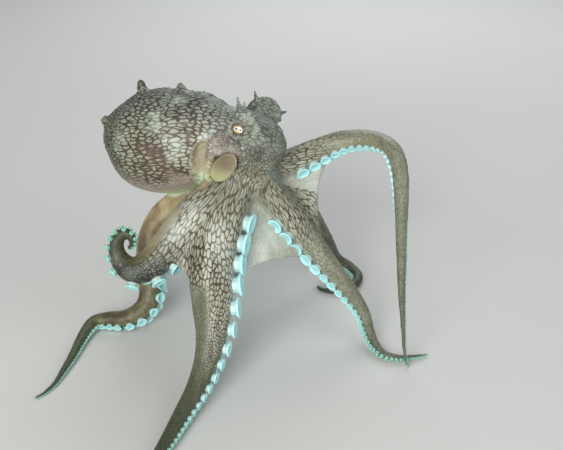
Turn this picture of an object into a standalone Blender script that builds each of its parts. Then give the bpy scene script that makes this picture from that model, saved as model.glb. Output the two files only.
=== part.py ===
# Coconut octopus standing tall on its arms, life size, as a still museum model.
# World axes: +Z up, +X to the right of the animal's near side view, +Y away from the viewer.
# Lengths below are in millimetres and become metres where a mesh is made.

import math

import bmesh
import bpy
import numpy as np

for old in list(bpy.data.objects):
    bpy.data.objects.remove(old, do_unlink=True)

MM = 0.001
JOINT_GAP = 0.3
WIDE = 400.0
DEEP = 60.0
THINNEST = 0.35
SPAN_STEPS = 16

# Flesh: sides of a ring, how flat the underside is, and how fine the soft bodies stay.
RING_SIDES = 9
TIP_SIDES = 6
ORAL_SHARE = 0.80
SHORTEST_STEP = 4.2
STEP_SHARE = 1.15
HEAD_VOXEL = 0.9
HEAD_TRIANGLES = 680
CROWN_VOXEL = 1.0
CROWN_TRIANGLES = 1250

# Crown and web.
CROWN_CENTRE = (-4.0, 3.0, 88.0)
CROWN_RADII = (21.0, 19.0, 13.0)
WEB_THICKNESS = 2.2
WEB_DIP = 0.18
WEB_STEPS_ALONG = 6
WEB_STEPS_ACROSS = 4
WEB_RISE = 0.35
WEB_START = 0.10
WEB_OVERLAP = 12.0
ARM_START = 4.0
END_BLOCK = (15.0, 22.0)

# Suckers: size by the arm's radius, spacing by the sucker's radius, limits of the named sizes.
SUCKER_SHARE = 0.40
SUCKER_SMALLEST = 0.75
SUCKER_MARGIN = 0.4
SUCKER_ROW_ANGLE = 33.0
FIRST_SUCKER = 32.0
LAST_SUCKER = 1.5
SUCKER_PITCH = 3.0
MEDIUM_SUCKER_PITCH = 4.4
SMALL_SUCKER_PITCH = 7.5
LARGE_SUCKER = 2.6
MEDIUM_SUCKER = 1.6
SMALL_SUCKER = 0.95
LARGE_SIDES = 7
MEDIUM_SIDES = 6
SMALL_SIDES = 5
SUCKER_LEVELS = ((-0.75, 0.76), (0.95, 1.0))
SUCKER_HOLLOW = 0.55

# Arms: rows of x, y, z and radius from the crown to the tip; the way the suckers face at the
# root; where the web ends; where the arm is divided; how deep the edge of the next web dips;
# how far out on the arm's side the web before it starts; how far the arm is turned, by length.
ARMS = {
    "arm_r1": dict(
        rows=[
            (3, 0, 86, 10), (14, -4, 75, 9.8), (27, -8, 59, 8.6), (41, -12.5, 42, 6.9),
            (54.2, -16.5, 26, 5.3), (61.9, -20, 15, 4.2), (65, -26, 7.5, 3.5), (67.8, -35, 3.6, 3.0),
            (72.3, -42.5, 2.4, 2.5), (79, -45.3, 2.0, 2.1), (87, -44, 1.5, 1.6), (93, -41.8, 1.1, 1.1),
            (96.3, -40.3, 0.8, 0.7),
        ],
        under=(-0.6, -0.3, -0.8), web=58, cuts=(88, 116),
    ),
    "arm_r2": dict(
        rows=[
            (-5, -4, 86, 11), (-12, -14, 74, 13), (-17, -26, 61, 13.5), (-18.5, -38, 49, 13),
            (-18, -50, 38, 11.5), (-18, -61, 28, 9.2), (-20.5, -71, 18, 7.2), (-25.5, -82, 9, 5.7),
            (-32, -98, 4.3, 4.6), (-38, -118, 3.3, 3.6), (-44, -134, 2.3, 2.5), (-53, -145, 1.4, 1.4),
            (-60, -149, 0.8, 0.7),
        ],
        under=(0.85, 0.35, -0.2), web=70, cuts=(100, 134), dip=0.09,
    ),
    "arm_r3": dict(
        rows=[
            (-10, -2, 85, 10), (-21, -11, 78, 11.5), (-32, -17, 69, 11.5), (-42, -23, 59, 10.5),
            (-51, -27, 50, 9.5), (-60, -29, 46.5, 8.2), (-67, -28, 49, 6.6), (-70.8, -26, 56, 4.9),
            (-70.2, -25.5, 63, 4.1), (-65.8, -26, 68.3, 3.1), (-61.9, -27, 66.5, 2.6),
            (-61.3, -28, 62.6, 2.0), (-63.9, -29, 59.5, 1.1),
        ],
        under=(-0.3, -0.5, -0.8), web=55, cuts=(74, 90), brim=0.8,
    ),
    "arm_r4": dict(
        rows=[
            (-12, 6, 81, 9), (-27, 13, 72, 8.6), (-42, 16, 64, 8.0), (-52, 13, 56, 7.5),
            (-57.5, 7, 45, 7.3), (-58, 2, 31, 7.3), (-57, -3, 18.5, 7.0), (-60.3, -8.6, 10.5, 6.4),
            (-70.3, -12, 5.7, 5.6), (-81, -11.3, 4.7, 4.7), (-88.8, -12.6, 4.0, 4.0),
            (-92.3, -20, 3.3, 3.4), (-94.3, -31, 2.8, 2.9), (-96, -44, 2.3, 2.4), (-98.3, -56, 1.8, 1.9),
            (-100.7, -67, 1.3, 1.4), (-104, -74, 1.0, 1.1), (-108.8, -79.5, 0.8, 0.7),
        ],
        under=(0.39, -0.29, -0.87), web=50, cuts=(92, 140),
    ),
    "arm_l1": dict(
        rows=[
            (4, 6, 86, 10), (18, 14, 88, 9.0), (34, 18.5, 94, 7.6), (47.5, 18.5, 100.6, 6.2),
            (56.5, 15.5, 103.8, 5.5), (64.5, 11, 105.8, 5.1), (71.5, 4, 106.6, 4.8), (75.8, -4, 105.8, 4.7),
            (78, -11.5, 102.5, 4.6), (79.2, -17.5, 95.5, 4.3), (79.7, -21, 85, 3.9), (80, -25.5, 70, 3.3),
            (80.3, -31, 54, 2.7), (80.6, -37, 38, 2.1), (81.5, -42, 24, 1.6), (82.4, -47, 10, 1.2),
            (83, -49.4, 4.2, 1.0), (84, -50.8, 1.5, 0.85), (85.3, -51.8, 0.75, 0.65),
        ],
        under=(0.32, -0.36, -0.88), web=50, cuts=(92, 150),
        turns=((100, 0), (125, 28), (160, 50)),
    ),
    "arm_l2": dict(
        rows=[
            (3, 12, 86, 10), (13, 24, 76, 9.6), (24, 34, 60, 8.6), (34, 42, 42, 7.2),
            (43, 48, 24, 5.8), (50, 52, 9, 4.8), (59, 50, 4.1, 3.9), (64, 40, 3.2, 3.3),
            (60, 30, 2.6, 2.7), (51, 25, 2.0, 2.1), (42, 27, 1.5, 1.5), (38, 33, 0.9, 0.8),
        ],
        under=(-0.4, -0.4, -0.8), web=58, cuts=(88, 120),
    ),
    "arm_l3": dict(
        rows=[
            (-4, 12, 86, 10), (-7, 27, 77, 9.6), (-11, 42, 60, 8.6), (-14, 54, 42, 7.2),
            (-15, 64, 24, 5.8), (-15, 73, 9, 4.8), (-19, 83, 4.1, 3.9), (-29, 88, 3.2, 3.3),
            (-38, 83, 2.6, 2.7), (-40, 74, 2.0, 2.1), (-35, 68, 1.5, 1.5), (-29, 70, 0.9, 0.8),
        ],
        under=(0.1, -0.6, -0.8), web=58, cuts=(88, 120),
    ),
    "arm_l4": dict(
        rows=[
            (-12, 10, 83, 9.5), (-24, 22, 73, 8.8), (-35, 33, 59, 8.2), (-43, 42, 41, 7.0),
            (-50, 49, 24, 5.8), (-56, 54, 9, 4.8), (-65, 59, 4.1, 3.9), (-72, 68, 3.2, 3.3),
            (-71, 79, 2.6, 2.7), (-63, 85, 2.0, 2.1), (-55, 82, 1.5, 1.5), (-53, 75, 0.9, 0.8),
        ],
        under=(0.5, -0.4, -0.8), web=54, cuts=(88, 120),
    ),
}
ORDER = ["arm_r1", "arm_r2", "arm_r3", "arm_r4", "arm_l4", "arm_l3", "arm_l2", "arm_l1"]
PLACES = ("upper", "middle", "tip")

# Mantle and head: rows of place, half width and half height.
MANTLE_ROWS = [
    (-80, 33, 97, 0.5, 0.5), (-77.5, 32, 97.5, 10, 10), (-72, 30, 98.5, 18, 19),
    (-62, 26.5, 99.5, 25, 26), (-49, 22, 101, 27.5, 28.5), (-36, 17, 103.5, 26, 27.5),
    (-26, 13, 105.5, 22.5, 25.5), (-19, 10, 107, 19, 22.5), (-14, 8, 108, 1, 1),
]
HEAD_ROWS = [
    (-30, 13, 106, 1, 1), (-27, 12.5, 106, 15, 18), (-20, 10.5, 107, 19, 21.8),
    (-14.5, 9, 107, 17.3, 19.5), (-9, 8, 107.3, 16, 17.4), (-4, 7, 107.5, 15.5, 16.5),
    (5, 4, 106, 14.5, 15), (10, 2, 102.5, 11.5, 12.5), (13.5, -1, 99, 6.5, 8),
    (15.5, -2, 97, 1, 1),
]
POCKET_CENTRE = (-17, 1, 91)
POCKET_RADII = (13, 17, 15)
POCKET_FACING = (0.84, -0.5, 0)
NECK_PLANE = (-20.0, 10.0, 107.0)
NECK_FACING = (0.88, -0.45, -0.12)

# Horns of skin, slender or blunt: share of the length and of the root's radius.
SLENDER = ((0.0, 1.0), (0.35, 0.72), (0.68, 0.42), (0.90, 0.24))
BLUNT = ((0.0, 1.0), (0.35, 0.90), (0.68, 0.80), (0.92, 0.52))
HORN_SIDES = 7

# Each horn: its root, its tip, the radius of its root and its outline.
MANTLE_HORNS = (
    ((-58, 29, 122), (-60.5, 30, 134), 3.4, BLUNT),
    ((-36, 21, 125), (-38, 22, 134), 3.0, BLUNT),
    ((-73, 25, 107), (-82, 24, 112.5), 3.6, BLUNT),
)
HEAD_HORNS = (
    ((-4.5, 2.0, 121), (-6, 1.0, 134), 3.0, SLENDER),
    ((-2.0, 1.5, 121), (-2.5, 1.0, 131), 2.4, SLENDER),
    ((4.5, 19, 121), (2.5, 18, 131), 2.8, SLENDER),
    ((14, 20, 117), (20, 21, 118), 2.6, SLENDER),
)

# Eyes: centre and the way each looks.
EYES = {
    "eye_right": ((-4.5, -1.5, 117.0), (-0.22, -0.9, 0.28)),
    "eye_left": ((8.0, 19.0, 117.0), (0.62, 0.74, 0.25)),
}
EYE_RADIUS = 5.6
SOCKET_GAP = 0.3
EYE_OPENING = 3.9
OPENING_HEIGHT = 0.82
OPENING_FLARE = ((2.0, 0.86), (14.0, 1.35))
OPENING_SIDES = 14
BULGE_RADIUS = 8.2

# Funnel: share of the way from root to mouth, and radius there.
FUNNEL_ROOT = np.array((-19.0, -2.0, 98.0))
FUNNEL_MOUTH = np.array((-12.0, -14.5, 100.5))
FUNNEL_OUTER = [(0.0, 5.0), (0.45, 5.8), (0.80, 6.9), (1.0, 6.9)]
FUNNEL_INNER = [(1.06, 5.8), (0.84, 2.6)]
FUNNEL_SEAT = [(-0.04, 5.0), *FUNNEL_OUTER[1:], (1.6, 8.5)]
FUNNEL_SIDES = 16

# Colours of the animal: base colour, roughness.
SKIN_BROWN = (0.32, 0.22, 0.17)
SKIN_GREY = (0.42, 0.35, 0.28)
SKIN_TAN = (0.50, 0.37, 0.22)
SKIN_OLIVE = (0.30, 0.22, 0.12)
EYE_GOLD = (0.62, 0.42, 0.24)


def material(name, colour, roughness, metallic=0.0):
    made = bpy.data.materials.new(name)
    made.use_nodes = True
    shader = made.node_tree.nodes["Principled BSDF"]
    shader.inputs["Base Color"].default_value = (*colour, 1.0)
    shader.inputs["Roughness"].default_value = roughness
    shader.inputs["Metallic"].default_value = metallic
    made.diffuse_color = (*colour, 1.0)
    return made


def unit(vector):
    vector = np.asarray(vector, float)
    return vector / max(np.linalg.norm(vector), 1e-9)


# Smooth curve through rows of numbers: the first three are a place, the rest ride along.
def curve_through(rows, per_span=SPAN_STEPS):
    rows = np.asarray(rows, float)
    ends = np.vstack([2 * rows[0] - rows[1], rows, 2 * rows[-1] - rows[-2]])
    made = []
    for index in range(len(rows) - 1):
        a, b, c, d = ends[index : index + 4]
        for t in np.linspace(0.0, 1.0, per_span, endpoint=False):
            made.append(
                0.5
                * (
                    2 * b
                    + (c - a) * t
                    + (2 * a - 5 * b + 4 * c - d) * t * t
                    + (3 * b - a - 3 * c + d) * t**3
                )
            )
    made.append(rows[-1])
    return np.array(made)


# A limb knows its centre line, its radius and which way its underside faces at any length.
class Limb:
    def __init__(self, rows, under, turns=((0, 0),)):
        fine = curve_through(rows)
        self.place = fine[:, :3]
        self.radius = np.maximum(fine[:, 3], THINNEST)
        steps = np.linalg.norm(np.diff(self.place, axis=0), axis=1)
        self.length = np.concatenate([[0.0], np.cumsum(steps)])
        self.total = self.length[-1]
        ahead = np.gradient(self.place, axis=0)
        self.ahead = ahead / np.linalg.norm(ahead, axis=1)[:, None]
        down = [unit(under - np.dot(under, self.ahead[0]) * self.ahead[0])]
        for index in range(1, len(self.place)):
            last = down[-1]
            turned = last - np.dot(last, self.ahead[index]) * self.ahead[index]
            down.append(unit(turned))
        self.down = np.array(down)
        lengths, degrees = np.array(turns, float).T
        turn = np.radians(np.interp(self.length, lengths, degrees))[:, None]
        across = np.cross(self.ahead, self.down)
        self.down = np.cos(turn) * self.down + np.sin(turn) * across

    def at(self, length):
        length = min(max(length, 0.0), self.total)
        place = [np.interp(length, self.length, self.place[:, k]) for k in range(3)]
        ahead = unit([np.interp(length, self.length, self.ahead[:, k]) for k in range(3)])
        down = np.array([np.interp(length, self.length, self.down[:, k]) for k in range(3)])
        down = unit(down - np.dot(down, ahead) * ahead)
        radius = float(np.interp(length, self.length, self.radius))
        return np.array(place), ahead, down, np.cross(ahead, down), radius


def mesh_of(name, points, faces):
    data = bpy.data.meshes.new(name)
    data.from_pydata([tuple(np.asarray(p) * MM) for p in points], [], faces)
    data.update()
    shape = bmesh.new()
    shape.from_mesh(data)
    bmesh.ops.recalc_face_normals(shape, faces=shape.faces)
    shape.to_mesh(data)
    shape.free()
    made = bpy.data.objects.new(name, data)
    bpy.context.collection.objects.link(made)
    return made


# Closed tube from a list of rings, each with the same number of points.
def tube_of(name, rings, start_point=None, end_point=None):
    sides = len(rings[0])
    points = [p for ring in rings for p in ring]
    faces = []
    for row in range(len(rings) - 1):
        for k in range(sides):
            n = (k + 1) % sides
            a = row * sides
            b = a + sides
            faces.append((a + k, a + n, b + n, b + k))
    last = (len(rings) - 1) * sides
    if start_point is None:
        faces.append(tuple(reversed(range(sides))))
    else:
        points.append(start_point)
        for k in range(sides):
            faces.append(((k + 1) % sides, k, len(points) - 1))
    if end_point is None:
        faces.append(tuple(last + k for k in range(sides)))
    else:
        points.append(end_point)
        for k in range(sides):
            faces.append((last + k, last + (k + 1) % sides, len(points) - 1))
    return mesh_of(name, points, faces)


# Rounded cross-section, a little flatter on the underside.
def arm_ring(limb, length, sides=RING_SIDES):
    place, ahead, down, side, radius = limb.at(length)
    ring = []
    for k in range(sides):
        angle = 2 * math.pi * (k + 0.5) / sides
        depth = math.cos(angle)
        depth *= ORAL_SHARE if depth > 0 else 1.0
        ring.append(place + radius * (depth * down + math.sin(angle) * side))
    return ring


def stations(limb, start, end):
    made = [start]
    while True:
        step = max(SHORTEST_STEP, STEP_SHARE * limb.at(made[-1])[4])
        if made[-1] + 1.4 * step >= end:
            break
        made.append(made[-1] + step)
    made.append(end)
    return made


def arm_length(name, limb, start, end, tip=False):
    sides = TIP_SIDES if tip else RING_SIDES
    rings = [arm_ring(limb, s, sides) for s in stations(limb, start, end)]
    if tip:
        place, ahead, down, side, radius = limb.at(limb.total)
        return tube_of(name, rings, None, place + ahead * radius * 0.8)
    return tube_of(name, rings)


# One sucker: a stalk sunk in the arm, a wider rim and a hollow face.
def sucker(name, place, out, along, radius):
    out = unit(out)
    along = unit(along - np.dot(along, out) * out)
    across = np.cross(out, along)
    sides = LARGE_SIDES
    if radius <= LARGE_SUCKER:
        sides = MEDIUM_SIDES
    if radius <= MEDIUM_SUCKER:
        sides = SMALL_SIDES
    rings = []
    for height, width in SUCKER_LEVELS:
        ring = []
        for k in range(sides):
            angle = 2 * math.pi * k / sides
            ring.append(
                place
                + out * height * radius
                + radius * width * (math.cos(angle) * along + math.sin(angle) * across)
            )
        rings.append(ring)
    return tube_of(name, rings, None, place + out * SUCKER_HOLLOW * radius)


# Two rows of suckers that alternate, out to the tip, sized by the arm where they stand.
def sucker_places(limb, start):
    places = []
    length = start
    row = 1
    while length < limb.total - LAST_SUCKER:
        radius = max(SUCKER_SHARE * limb.at(length)[4], SUCKER_SMALLEST)
        places.append((length, row, radius))
        pitch = SUCKER_PITCH
        if radius < MEDIUM_SUCKER:
            pitch = MEDIUM_SUCKER_PITCH
        if radius < SMALL_SUCKER:
            pitch = SMALL_SUCKER_PITCH
        length += radius * pitch * 0.5
        row = -row
    return places


def suckers_between(limb, places, start, end, tip):
    made = []
    for length, row, radius in places:
        if not start <= length < end:
            continue
        length = max(length, start + radius + SUCKER_MARGIN)
        if not tip:
            length = min(length, end - radius - SUCKER_MARGIN)
        place, ahead, down, side, thick = limb.at(length)
        angle = math.radians(SUCKER_ROW_ANGLE)
        below = math.cos(angle) * down
        aside = row * math.sin(angle) * side
        out = below + aside
        root = place + thick * (ORAL_SHARE * below + aside)
        made.append(sucker("sucker", root, out, ahead, radius))
    return made


def keep_largest(made):
    shape = bmesh.new()
    shape.from_mesh(made.data)
    bmesh.ops.triangulate(shape, faces=shape.faces)
    left = set(shape.verts)
    groups = []
    while left:
        stack = [left.pop()]
        group = set(stack)
        while stack:
            for edge in stack.pop().link_edges:
                for vert in edge.verts:
                    if vert in left:
                        left.discard(vert)
                        group.add(vert)
                        stack.append(vert)
        groups.append(group)
    groups.sort(key=len)
    for group in groups[:-1]:
        bmesh.ops.delete(shape, geom=list(group), context="VERTS")
    bmesh.ops.recalc_face_normals(shape, faces=shape.faces)
    shape.to_mesh(made.data)
    shape.free()


def combine(base, others, operation="UNION"):
    if not others:
        return base
    group = bpy.data.collections.new("pieces")
    for other in others:
        for owner in list(other.users_collection):
            owner.objects.unlink(other)
        group.objects.link(other)
    bpy.context.scene.collection.children.link(group)
    step = base.modifiers.new("join", "BOOLEAN")
    step.operation = operation
    step.operand_type = "COLLECTION"
    step.collection = group
    step.solver = "EXACT"
    graph = bpy.context.evaluated_depsgraph_get()
    result = bpy.data.meshes.new_from_object(base.evaluated_get(graph))
    base.modifiers.clear()
    base.data = result
    for other in list(group.objects):
        bpy.data.objects.remove(other, do_unlink=True)
    bpy.data.collections.remove(group)
    keep_largest(base)
    return base


# Soft flesh: the joined forms are rebuilt as one even skin, smoothed, then thinned out.
def blend(made, voxel, rounds, triangles):
    for kind, settings in (
        ("REMESH", dict(mode="VOXEL", voxel_size=voxel * MM)),
        ("SMOOTH", dict(factor=0.5, iterations=rounds)),
        ("TRIANGULATE", {}),
    ):
        step = made.modifiers.new(kind.lower(), kind)
        for key, value in settings.items():
            setattr(step, key, value)
    graph = bpy.context.evaluated_depsgraph_get()
    made.data = bpy.data.meshes.new_from_object(made.evaluated_get(graph))
    made.modifiers.clear()
    step = made.modifiers.new("thin", "DECIMATE")
    step.ratio = triangles / max(len(made.data.polygons), 1)
    graph = bpy.context.evaluated_depsgraph_get()
    made.data = bpy.data.meshes.new_from_object(made.evaluated_get(graph))
    made.modifiers.clear()
    keep_largest(made)
    return made


def ball(name, centre, radii, forward=(1, 0, 0), up=(0, 0, 1), around=16, rows=9):
    forward = unit(forward)
    side = unit(np.cross(up, forward))
    top = np.cross(forward, side)
    centre = np.asarray(centre, float)
    rings = []
    for row in range(1, rows):
        angle = math.pi * row / rows
        ring = []
        for k in range(around):
            turn = 2 * math.pi * k / around
            ring.append(
                centre
                - forward * radii[0] * math.cos(angle)
                + side * radii[1] * math.sin(angle) * math.cos(turn)
                + top * radii[2] * math.sin(angle) * math.sin(turn)
            )
        rings.append(ring)
    start = centre - forward * radii[0]
    return tube_of(name, rings, start, centre + forward * radii[0])


# A sac or a neck: rows of place, half width and half height, closed to a point at both ends.
def sac(name, rows, around=18, per_span=3):
    fine = curve_through(rows, per_span)
    ahead = np.gradient(fine[:, :3], axis=0)
    rings = []
    for index in range(1, len(fine) - 1):
        forward = unit(ahead[index])
        side = unit(np.cross((0, 0, 1), forward))
        top = np.cross(forward, side)
        width, height = fine[index, 3:5]
        ring = []
        for k in range(around):
            turn = 2 * math.pi * k / around
            ring.append(
                fine[index, :3]
                + side * width * math.cos(turn)
                + top * height * math.sin(turn)
            )
        rings.append(ring)
    return tube_of(name, rings, fine[0, :3], fine[-1, :3])


# A horn of skin, with its root sunk in the flesh.
def horn(root, tip, radius, outline):
    root = np.asarray(root, float)
    tip = np.asarray(tip, float)
    ahead = unit(tip - root)
    side = unit(np.cross(ahead, (0.3, 0.9, 0.1)))
    over = np.cross(ahead, side)
    rings = []
    for t, width in outline:
        centre = root + (tip - root) * t
        rings.append(
            [
                centre
                + radius * width * (math.cos(a) * side + math.sin(a) * over)
                for a in np.linspace(0, 2 * math.pi, HORN_SIDES, endpoint=False)
            ]
        )
    return tube_of("horn", rings, None, tip)


# Web of skin between two neighbouring arms, thick enough to stand by itself.
def web_between(name, first, second, reach_first, reach_second, deep, brim):
    along = WEB_STEPS_ALONG
    across = WEB_STEPS_ACROSS
    grid = []
    for row in range(along + 1):
        line = []
        for column in range(across + 1):
            u = column / across
            dip = 1.0 - deep * 4 * u * (1 - u)
            t = (WEB_START + (1.0 - WEB_START) * row / along) * dip
            a, ahead_a, down_a, side_a, radius_a = first.at(reach_first * t)
            b, ahead_b, down_b, side_b, radius_b = second.at(reach_second * t)
            a = a - down_a * radius_a * WEB_RISE
            b = b - down_b * radius_b * WEB_RISE + side_b * radius_b * brim
            line.append(a * (1 - u) + b * u)
        grid.append(line)
    grid = np.array(grid)
    du = np.gradient(grid, axis=1)
    dv = np.gradient(grid, axis=0)
    normal = np.cross(du, dv)
    normal /= np.maximum(np.linalg.norm(normal, axis=2), 1e-9)[..., None]
    half = WEB_THICKNESS / 2
    above = (grid + normal * half).reshape(-1, 3)
    below = (grid - normal * half).reshape(-1, 3)
    points = list(above) + list(below)
    wide = across + 1
    count = (along + 1) * wide
    faces = []
    for row in range(along):
        for column in range(across):
            a = row * wide + column
            faces.append((a, a + 1, a + wide + 1, a + wide))
            faces.append((count + a, count + a + wide, count + a + wide + 1, count + a + 1))
    border = [column for column in range(wide)]
    border += [row * wide + across for row in range(1, along + 1)]
    border += [along * wide + column for column in range(across - 1, -1, -1)]
    border += [row * wide for row in range(along - 1, 0, -1)]
    for k, a in enumerate(border):
        b = border[(k + 1) % len(border)]
        faces.append((a, b, count + b, count + a))
    return mesh_of(name, points, faces)


def finish(made, name, skin):
    made.name = name
    made.data.name = name
    made.data.materials.clear()
    made.data.materials.append(skin)
    for face in made.data.polygons:
        face.use_smooth = True
        face.material_index = 0
    return made


limbs = {}
for name, arm in ARMS.items():
    limbs[name] = Limb(arm["rows"], np.array(arm["under"], float), arm.get("turns", ((0, 0),)))


# A square block that starts at a place and runs the way it faces.
def block(name, at, facing, half, depth):
    facing = unit(facing)
    side = unit(np.cross(facing, (0.1, 0.2, 0.97)))
    over = np.cross(facing, side)
    points = []
    for far in (0.0, depth):
        for a, b in ((-1, -1), (1, -1), (1, 1), (-1, 1)):
            points.append(np.asarray(at) + facing * far + half * (a * side + b * over))
    faces = [(0, 3, 2, 1), (4, 5, 6, 7), (0, 1, 5, 4), (1, 2, 6, 5), (2, 3, 7, 6), (3, 0, 4, 7)]
    return mesh_of(name, points, faces)


# Everything that reaches the ground is cut level there, which leaves its small flat.
def stand_level(made):
    if min(vert.co.z for vert in made.data.vertices) < 0:
        ground = block("ground", (0.0, 0.0, 0.0), (0.0, 0.0, -1.0), WIDE, DEEP)
        combine(made, [ground], "DIFFERENCE")


nodes = []
skins = {
    "crown": material("skin_crown", SKIN_BROWN, 0.55),
    "mantle": material("skin_mantle", SKIN_GREY, 0.55),
    "head": material("skin_head", SKIN_GREY, 0.6),
    "funnel": material("skin_funnel", SKIN_TAN, 0.4),
    "upper": material("skin_arm", SKIN_BROWN, 0.5),
    "middle": material("skin_arm_middle", SKIN_TAN, 0.5),
    "tip": material("skin_arm_tip", SKIN_OLIVE, 0.5),
    "eye": material("eye", EYE_GOLD, 0.15),
}

# Arms, each in three lengths from the edge of the web to the tip.
for name, arm in ARMS.items():
    limb = limbs[name]
    places = sucker_places(limb, FIRST_SUCKER)
    bounds = [arm["web"] + ARM_START, *arm["cuts"], limb.total]
    for k, part in enumerate(PLACES):
        start = bounds[k] + JOINT_GAP / 2
        end = bounds[k + 1] - (0 if part == "tip" else JOINT_GAP / 2)
        made = arm_length(f"{name}_{part}", limb, start, end, part == "tip")
        rows = suckers_between(limb, places, start, end, part == "tip")
        combine(made, rows)
        stand_level(made)
        nodes.append(finish(made, f"{name}_{part}", skins[part]))

# Mantle: a full sac that droops behind the head, with the pocket of its opening underneath.
mantle = sac("mantle", MANTLE_ROWS, 18, 2)
pocket = ball("pocket", POCKET_CENTRE, POCKET_RADII, POCKET_FACING, (0, 0, 1), 14, 8)
combine(mantle, [pocket], "DIFFERENCE")
combine(mantle, [horn(*shape) for shape in MANTLE_HORNS])

# Head: neck, brow and the bulges of the eyes.
head = sac("head", HEAD_ROWS, 18, 3)
bulges = []
for eye, look in EYES.values():
    bulges.append(ball("bulge", np.array(eye) - unit(look), [BULGE_RADIUS] * 3, look))
combine(head, [*bulges, *[horn(*shape) for shape in HEAD_HORNS]])
blend(head, HEAD_VOXEL, 3, HEAD_TRIANGLES)

# Crown: the fleshy hub, the roots of the arms and the web between them.
pieces = []
for index, name in enumerate(ORDER):
    arm = ARMS[name]
    limb = limbs[name]
    pieces.append(arm_length("root", limb, 0.0, arm["web"] + WEB_OVERLAP))
    after = ORDER[(index + 1) % len(ORDER)]
    edge = (arm.get("dip", WEB_DIP), ARMS[after].get("brim", 0.0))
    pieces.append(web_between("web", limb, limbs[after], arm["web"], ARMS[after]["web"], *edge))
crown = ball("crown", CROWN_CENTRE, CROWN_RADII)
combine(crown, pieces)
blend(crown, CROWN_VOXEL, 4, CROWN_TRIANGLES)

for name in ORDER:
    limb = limbs[name]
    end = ARMS[name]["web"] + ARM_START - JOINT_GAP / 2
    place, ahead, down, side, radius = limb.at(end)
    combine(crown, [block("end", place, ahead, *END_BLOCK)], "DIFFERENCE")
    places = sucker_places(limb, FIRST_SUCKER)
    combine(crown, suckers_between(limb, places, FIRST_SUCKER, end, False))


# A copy of a body, a gap larger all round, that makes room for it in its neighbour.
def room_for(made):
    copy = bpy.data.objects.new("room", made.data.copy())
    bpy.context.collection.objects.link(copy)
    shape = bmesh.new()
    shape.from_mesh(copy.data)
    shape.normal_update()
    moved = [vert.co + vert.normal * 1.2 * JOINT_GAP * MM for vert in shape.verts]
    for vert, place in zip(shape.verts, moved):
        vert.co = place
    shape.to_mesh(copy.data)
    shape.free()
    return copy


# The mantle and the head meet at one flat cut through the neck, and the crown makes room for both.
for body, turn in ((mantle, 1.0), (head, -1.0)):
    facing = unit(NECK_FACING) * turn
    cut = block("cut", np.array(NECK_PLANE) - facing * JOINT_GAP / 2, facing, WIDE, WIDE)
    combine(body, [cut], "DIFFERENCE")
for body in (crown, *[made for made in nodes if made.name in ("arm_r4_upper", "arm_l4_upper")]):
    combine(body, [room_for(mantle)], "DIFFERENCE")
combine(crown, [room_for(head)], "DIFFERENCE")

# Eyes: each ball sits in a socket that opens between the lids.
for label, (eye, look) in EYES.items():
    look = unit(look)
    socket = ball("socket", eye, [EYE_RADIUS + SOCKET_GAP] * 3, look, (0, 0, 1), 16, 8)
    side = unit(np.cross((0, 0, 1), look))
    over = OPENING_HEIGHT * np.cross(look, side)
    rings = []
    for depth, share in OPENING_FLARE:
        rings.append(
            [
                eye + look * depth
                + EYE_OPENING * share * (math.cos(a) * side + math.sin(a) * over)
                for a in np.linspace(0, 2 * math.pi, OPENING_SIDES, endpoint=False)
            ]
        )
    combine(head, [socket, tube_of("lids", rings)], "DIFFERENCE")
    made = ball(label, eye, [EYE_RADIUS] * 3, look, (0, 0, 1), 14, 8)
    nodes.append(finish(made, label, skins["eye"]))

# Funnel: a short soft tube with a flared mouth, held in the pocket of the mantle.
ahead = unit(FUNNEL_MOUTH - FUNNEL_ROOT)
side = unit(np.cross((0, 0, 1), ahead))
over = np.cross(ahead, side)


def funnel_rings(profile, grow=0.0):
    made = []
    for t, width in profile:
        centre = FUNNEL_ROOT + (FUNNEL_MOUTH - FUNNEL_ROOT) * t
        made.append(
            [
                centre + (width + grow) * (math.cos(a) * side + math.sin(a) * over)
                for a in np.linspace(0, 2 * math.pi, FUNNEL_SIDES, endpoint=False)
            ]
        )
    return made


funnel = tube_of("funnel", funnel_rings(FUNNEL_OUTER + FUNNEL_INNER))
for body in (mantle, head, crown):
    seat = tube_of("seat", funnel_rings(FUNNEL_SEAT, JOINT_GAP))
    combine(body, [seat], "DIFFERENCE")

nodes.append(finish(mantle, "mantle", skins["mantle"]))
nodes.append(finish(head, "head", skins["head"]))
nodes.append(finish(crown, "crown", skins["crown"]))
nodes.append(finish(funnel, "funnel", skins["funnel"]))

# The middle of the whole footprint goes to the origin.
low = np.min([np.min([v.co for v in made.data.vertices], axis=0) for made in nodes], axis=0)
high = np.max([np.max([v.co for v in made.data.vertices], axis=0) for made in nodes], axis=0)
shift = (-(low[0] + high[0]) / 2, -(low[1] + high[1]) / 2, 0.0)
for made in nodes:
    for vert in made.data.vertices:
        vert.co.x += shift[0]
        vert.co.y += shift[1]
print("shift mm", [round(s * 1000, 2) for s in shift])
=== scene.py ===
import math
from types import SimpleNamespace

import bmesh
import bpy
import numpy as np
from mathutils import Matrix, Vector, noise
from mathutils.bvhtree import BVHTree


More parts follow.
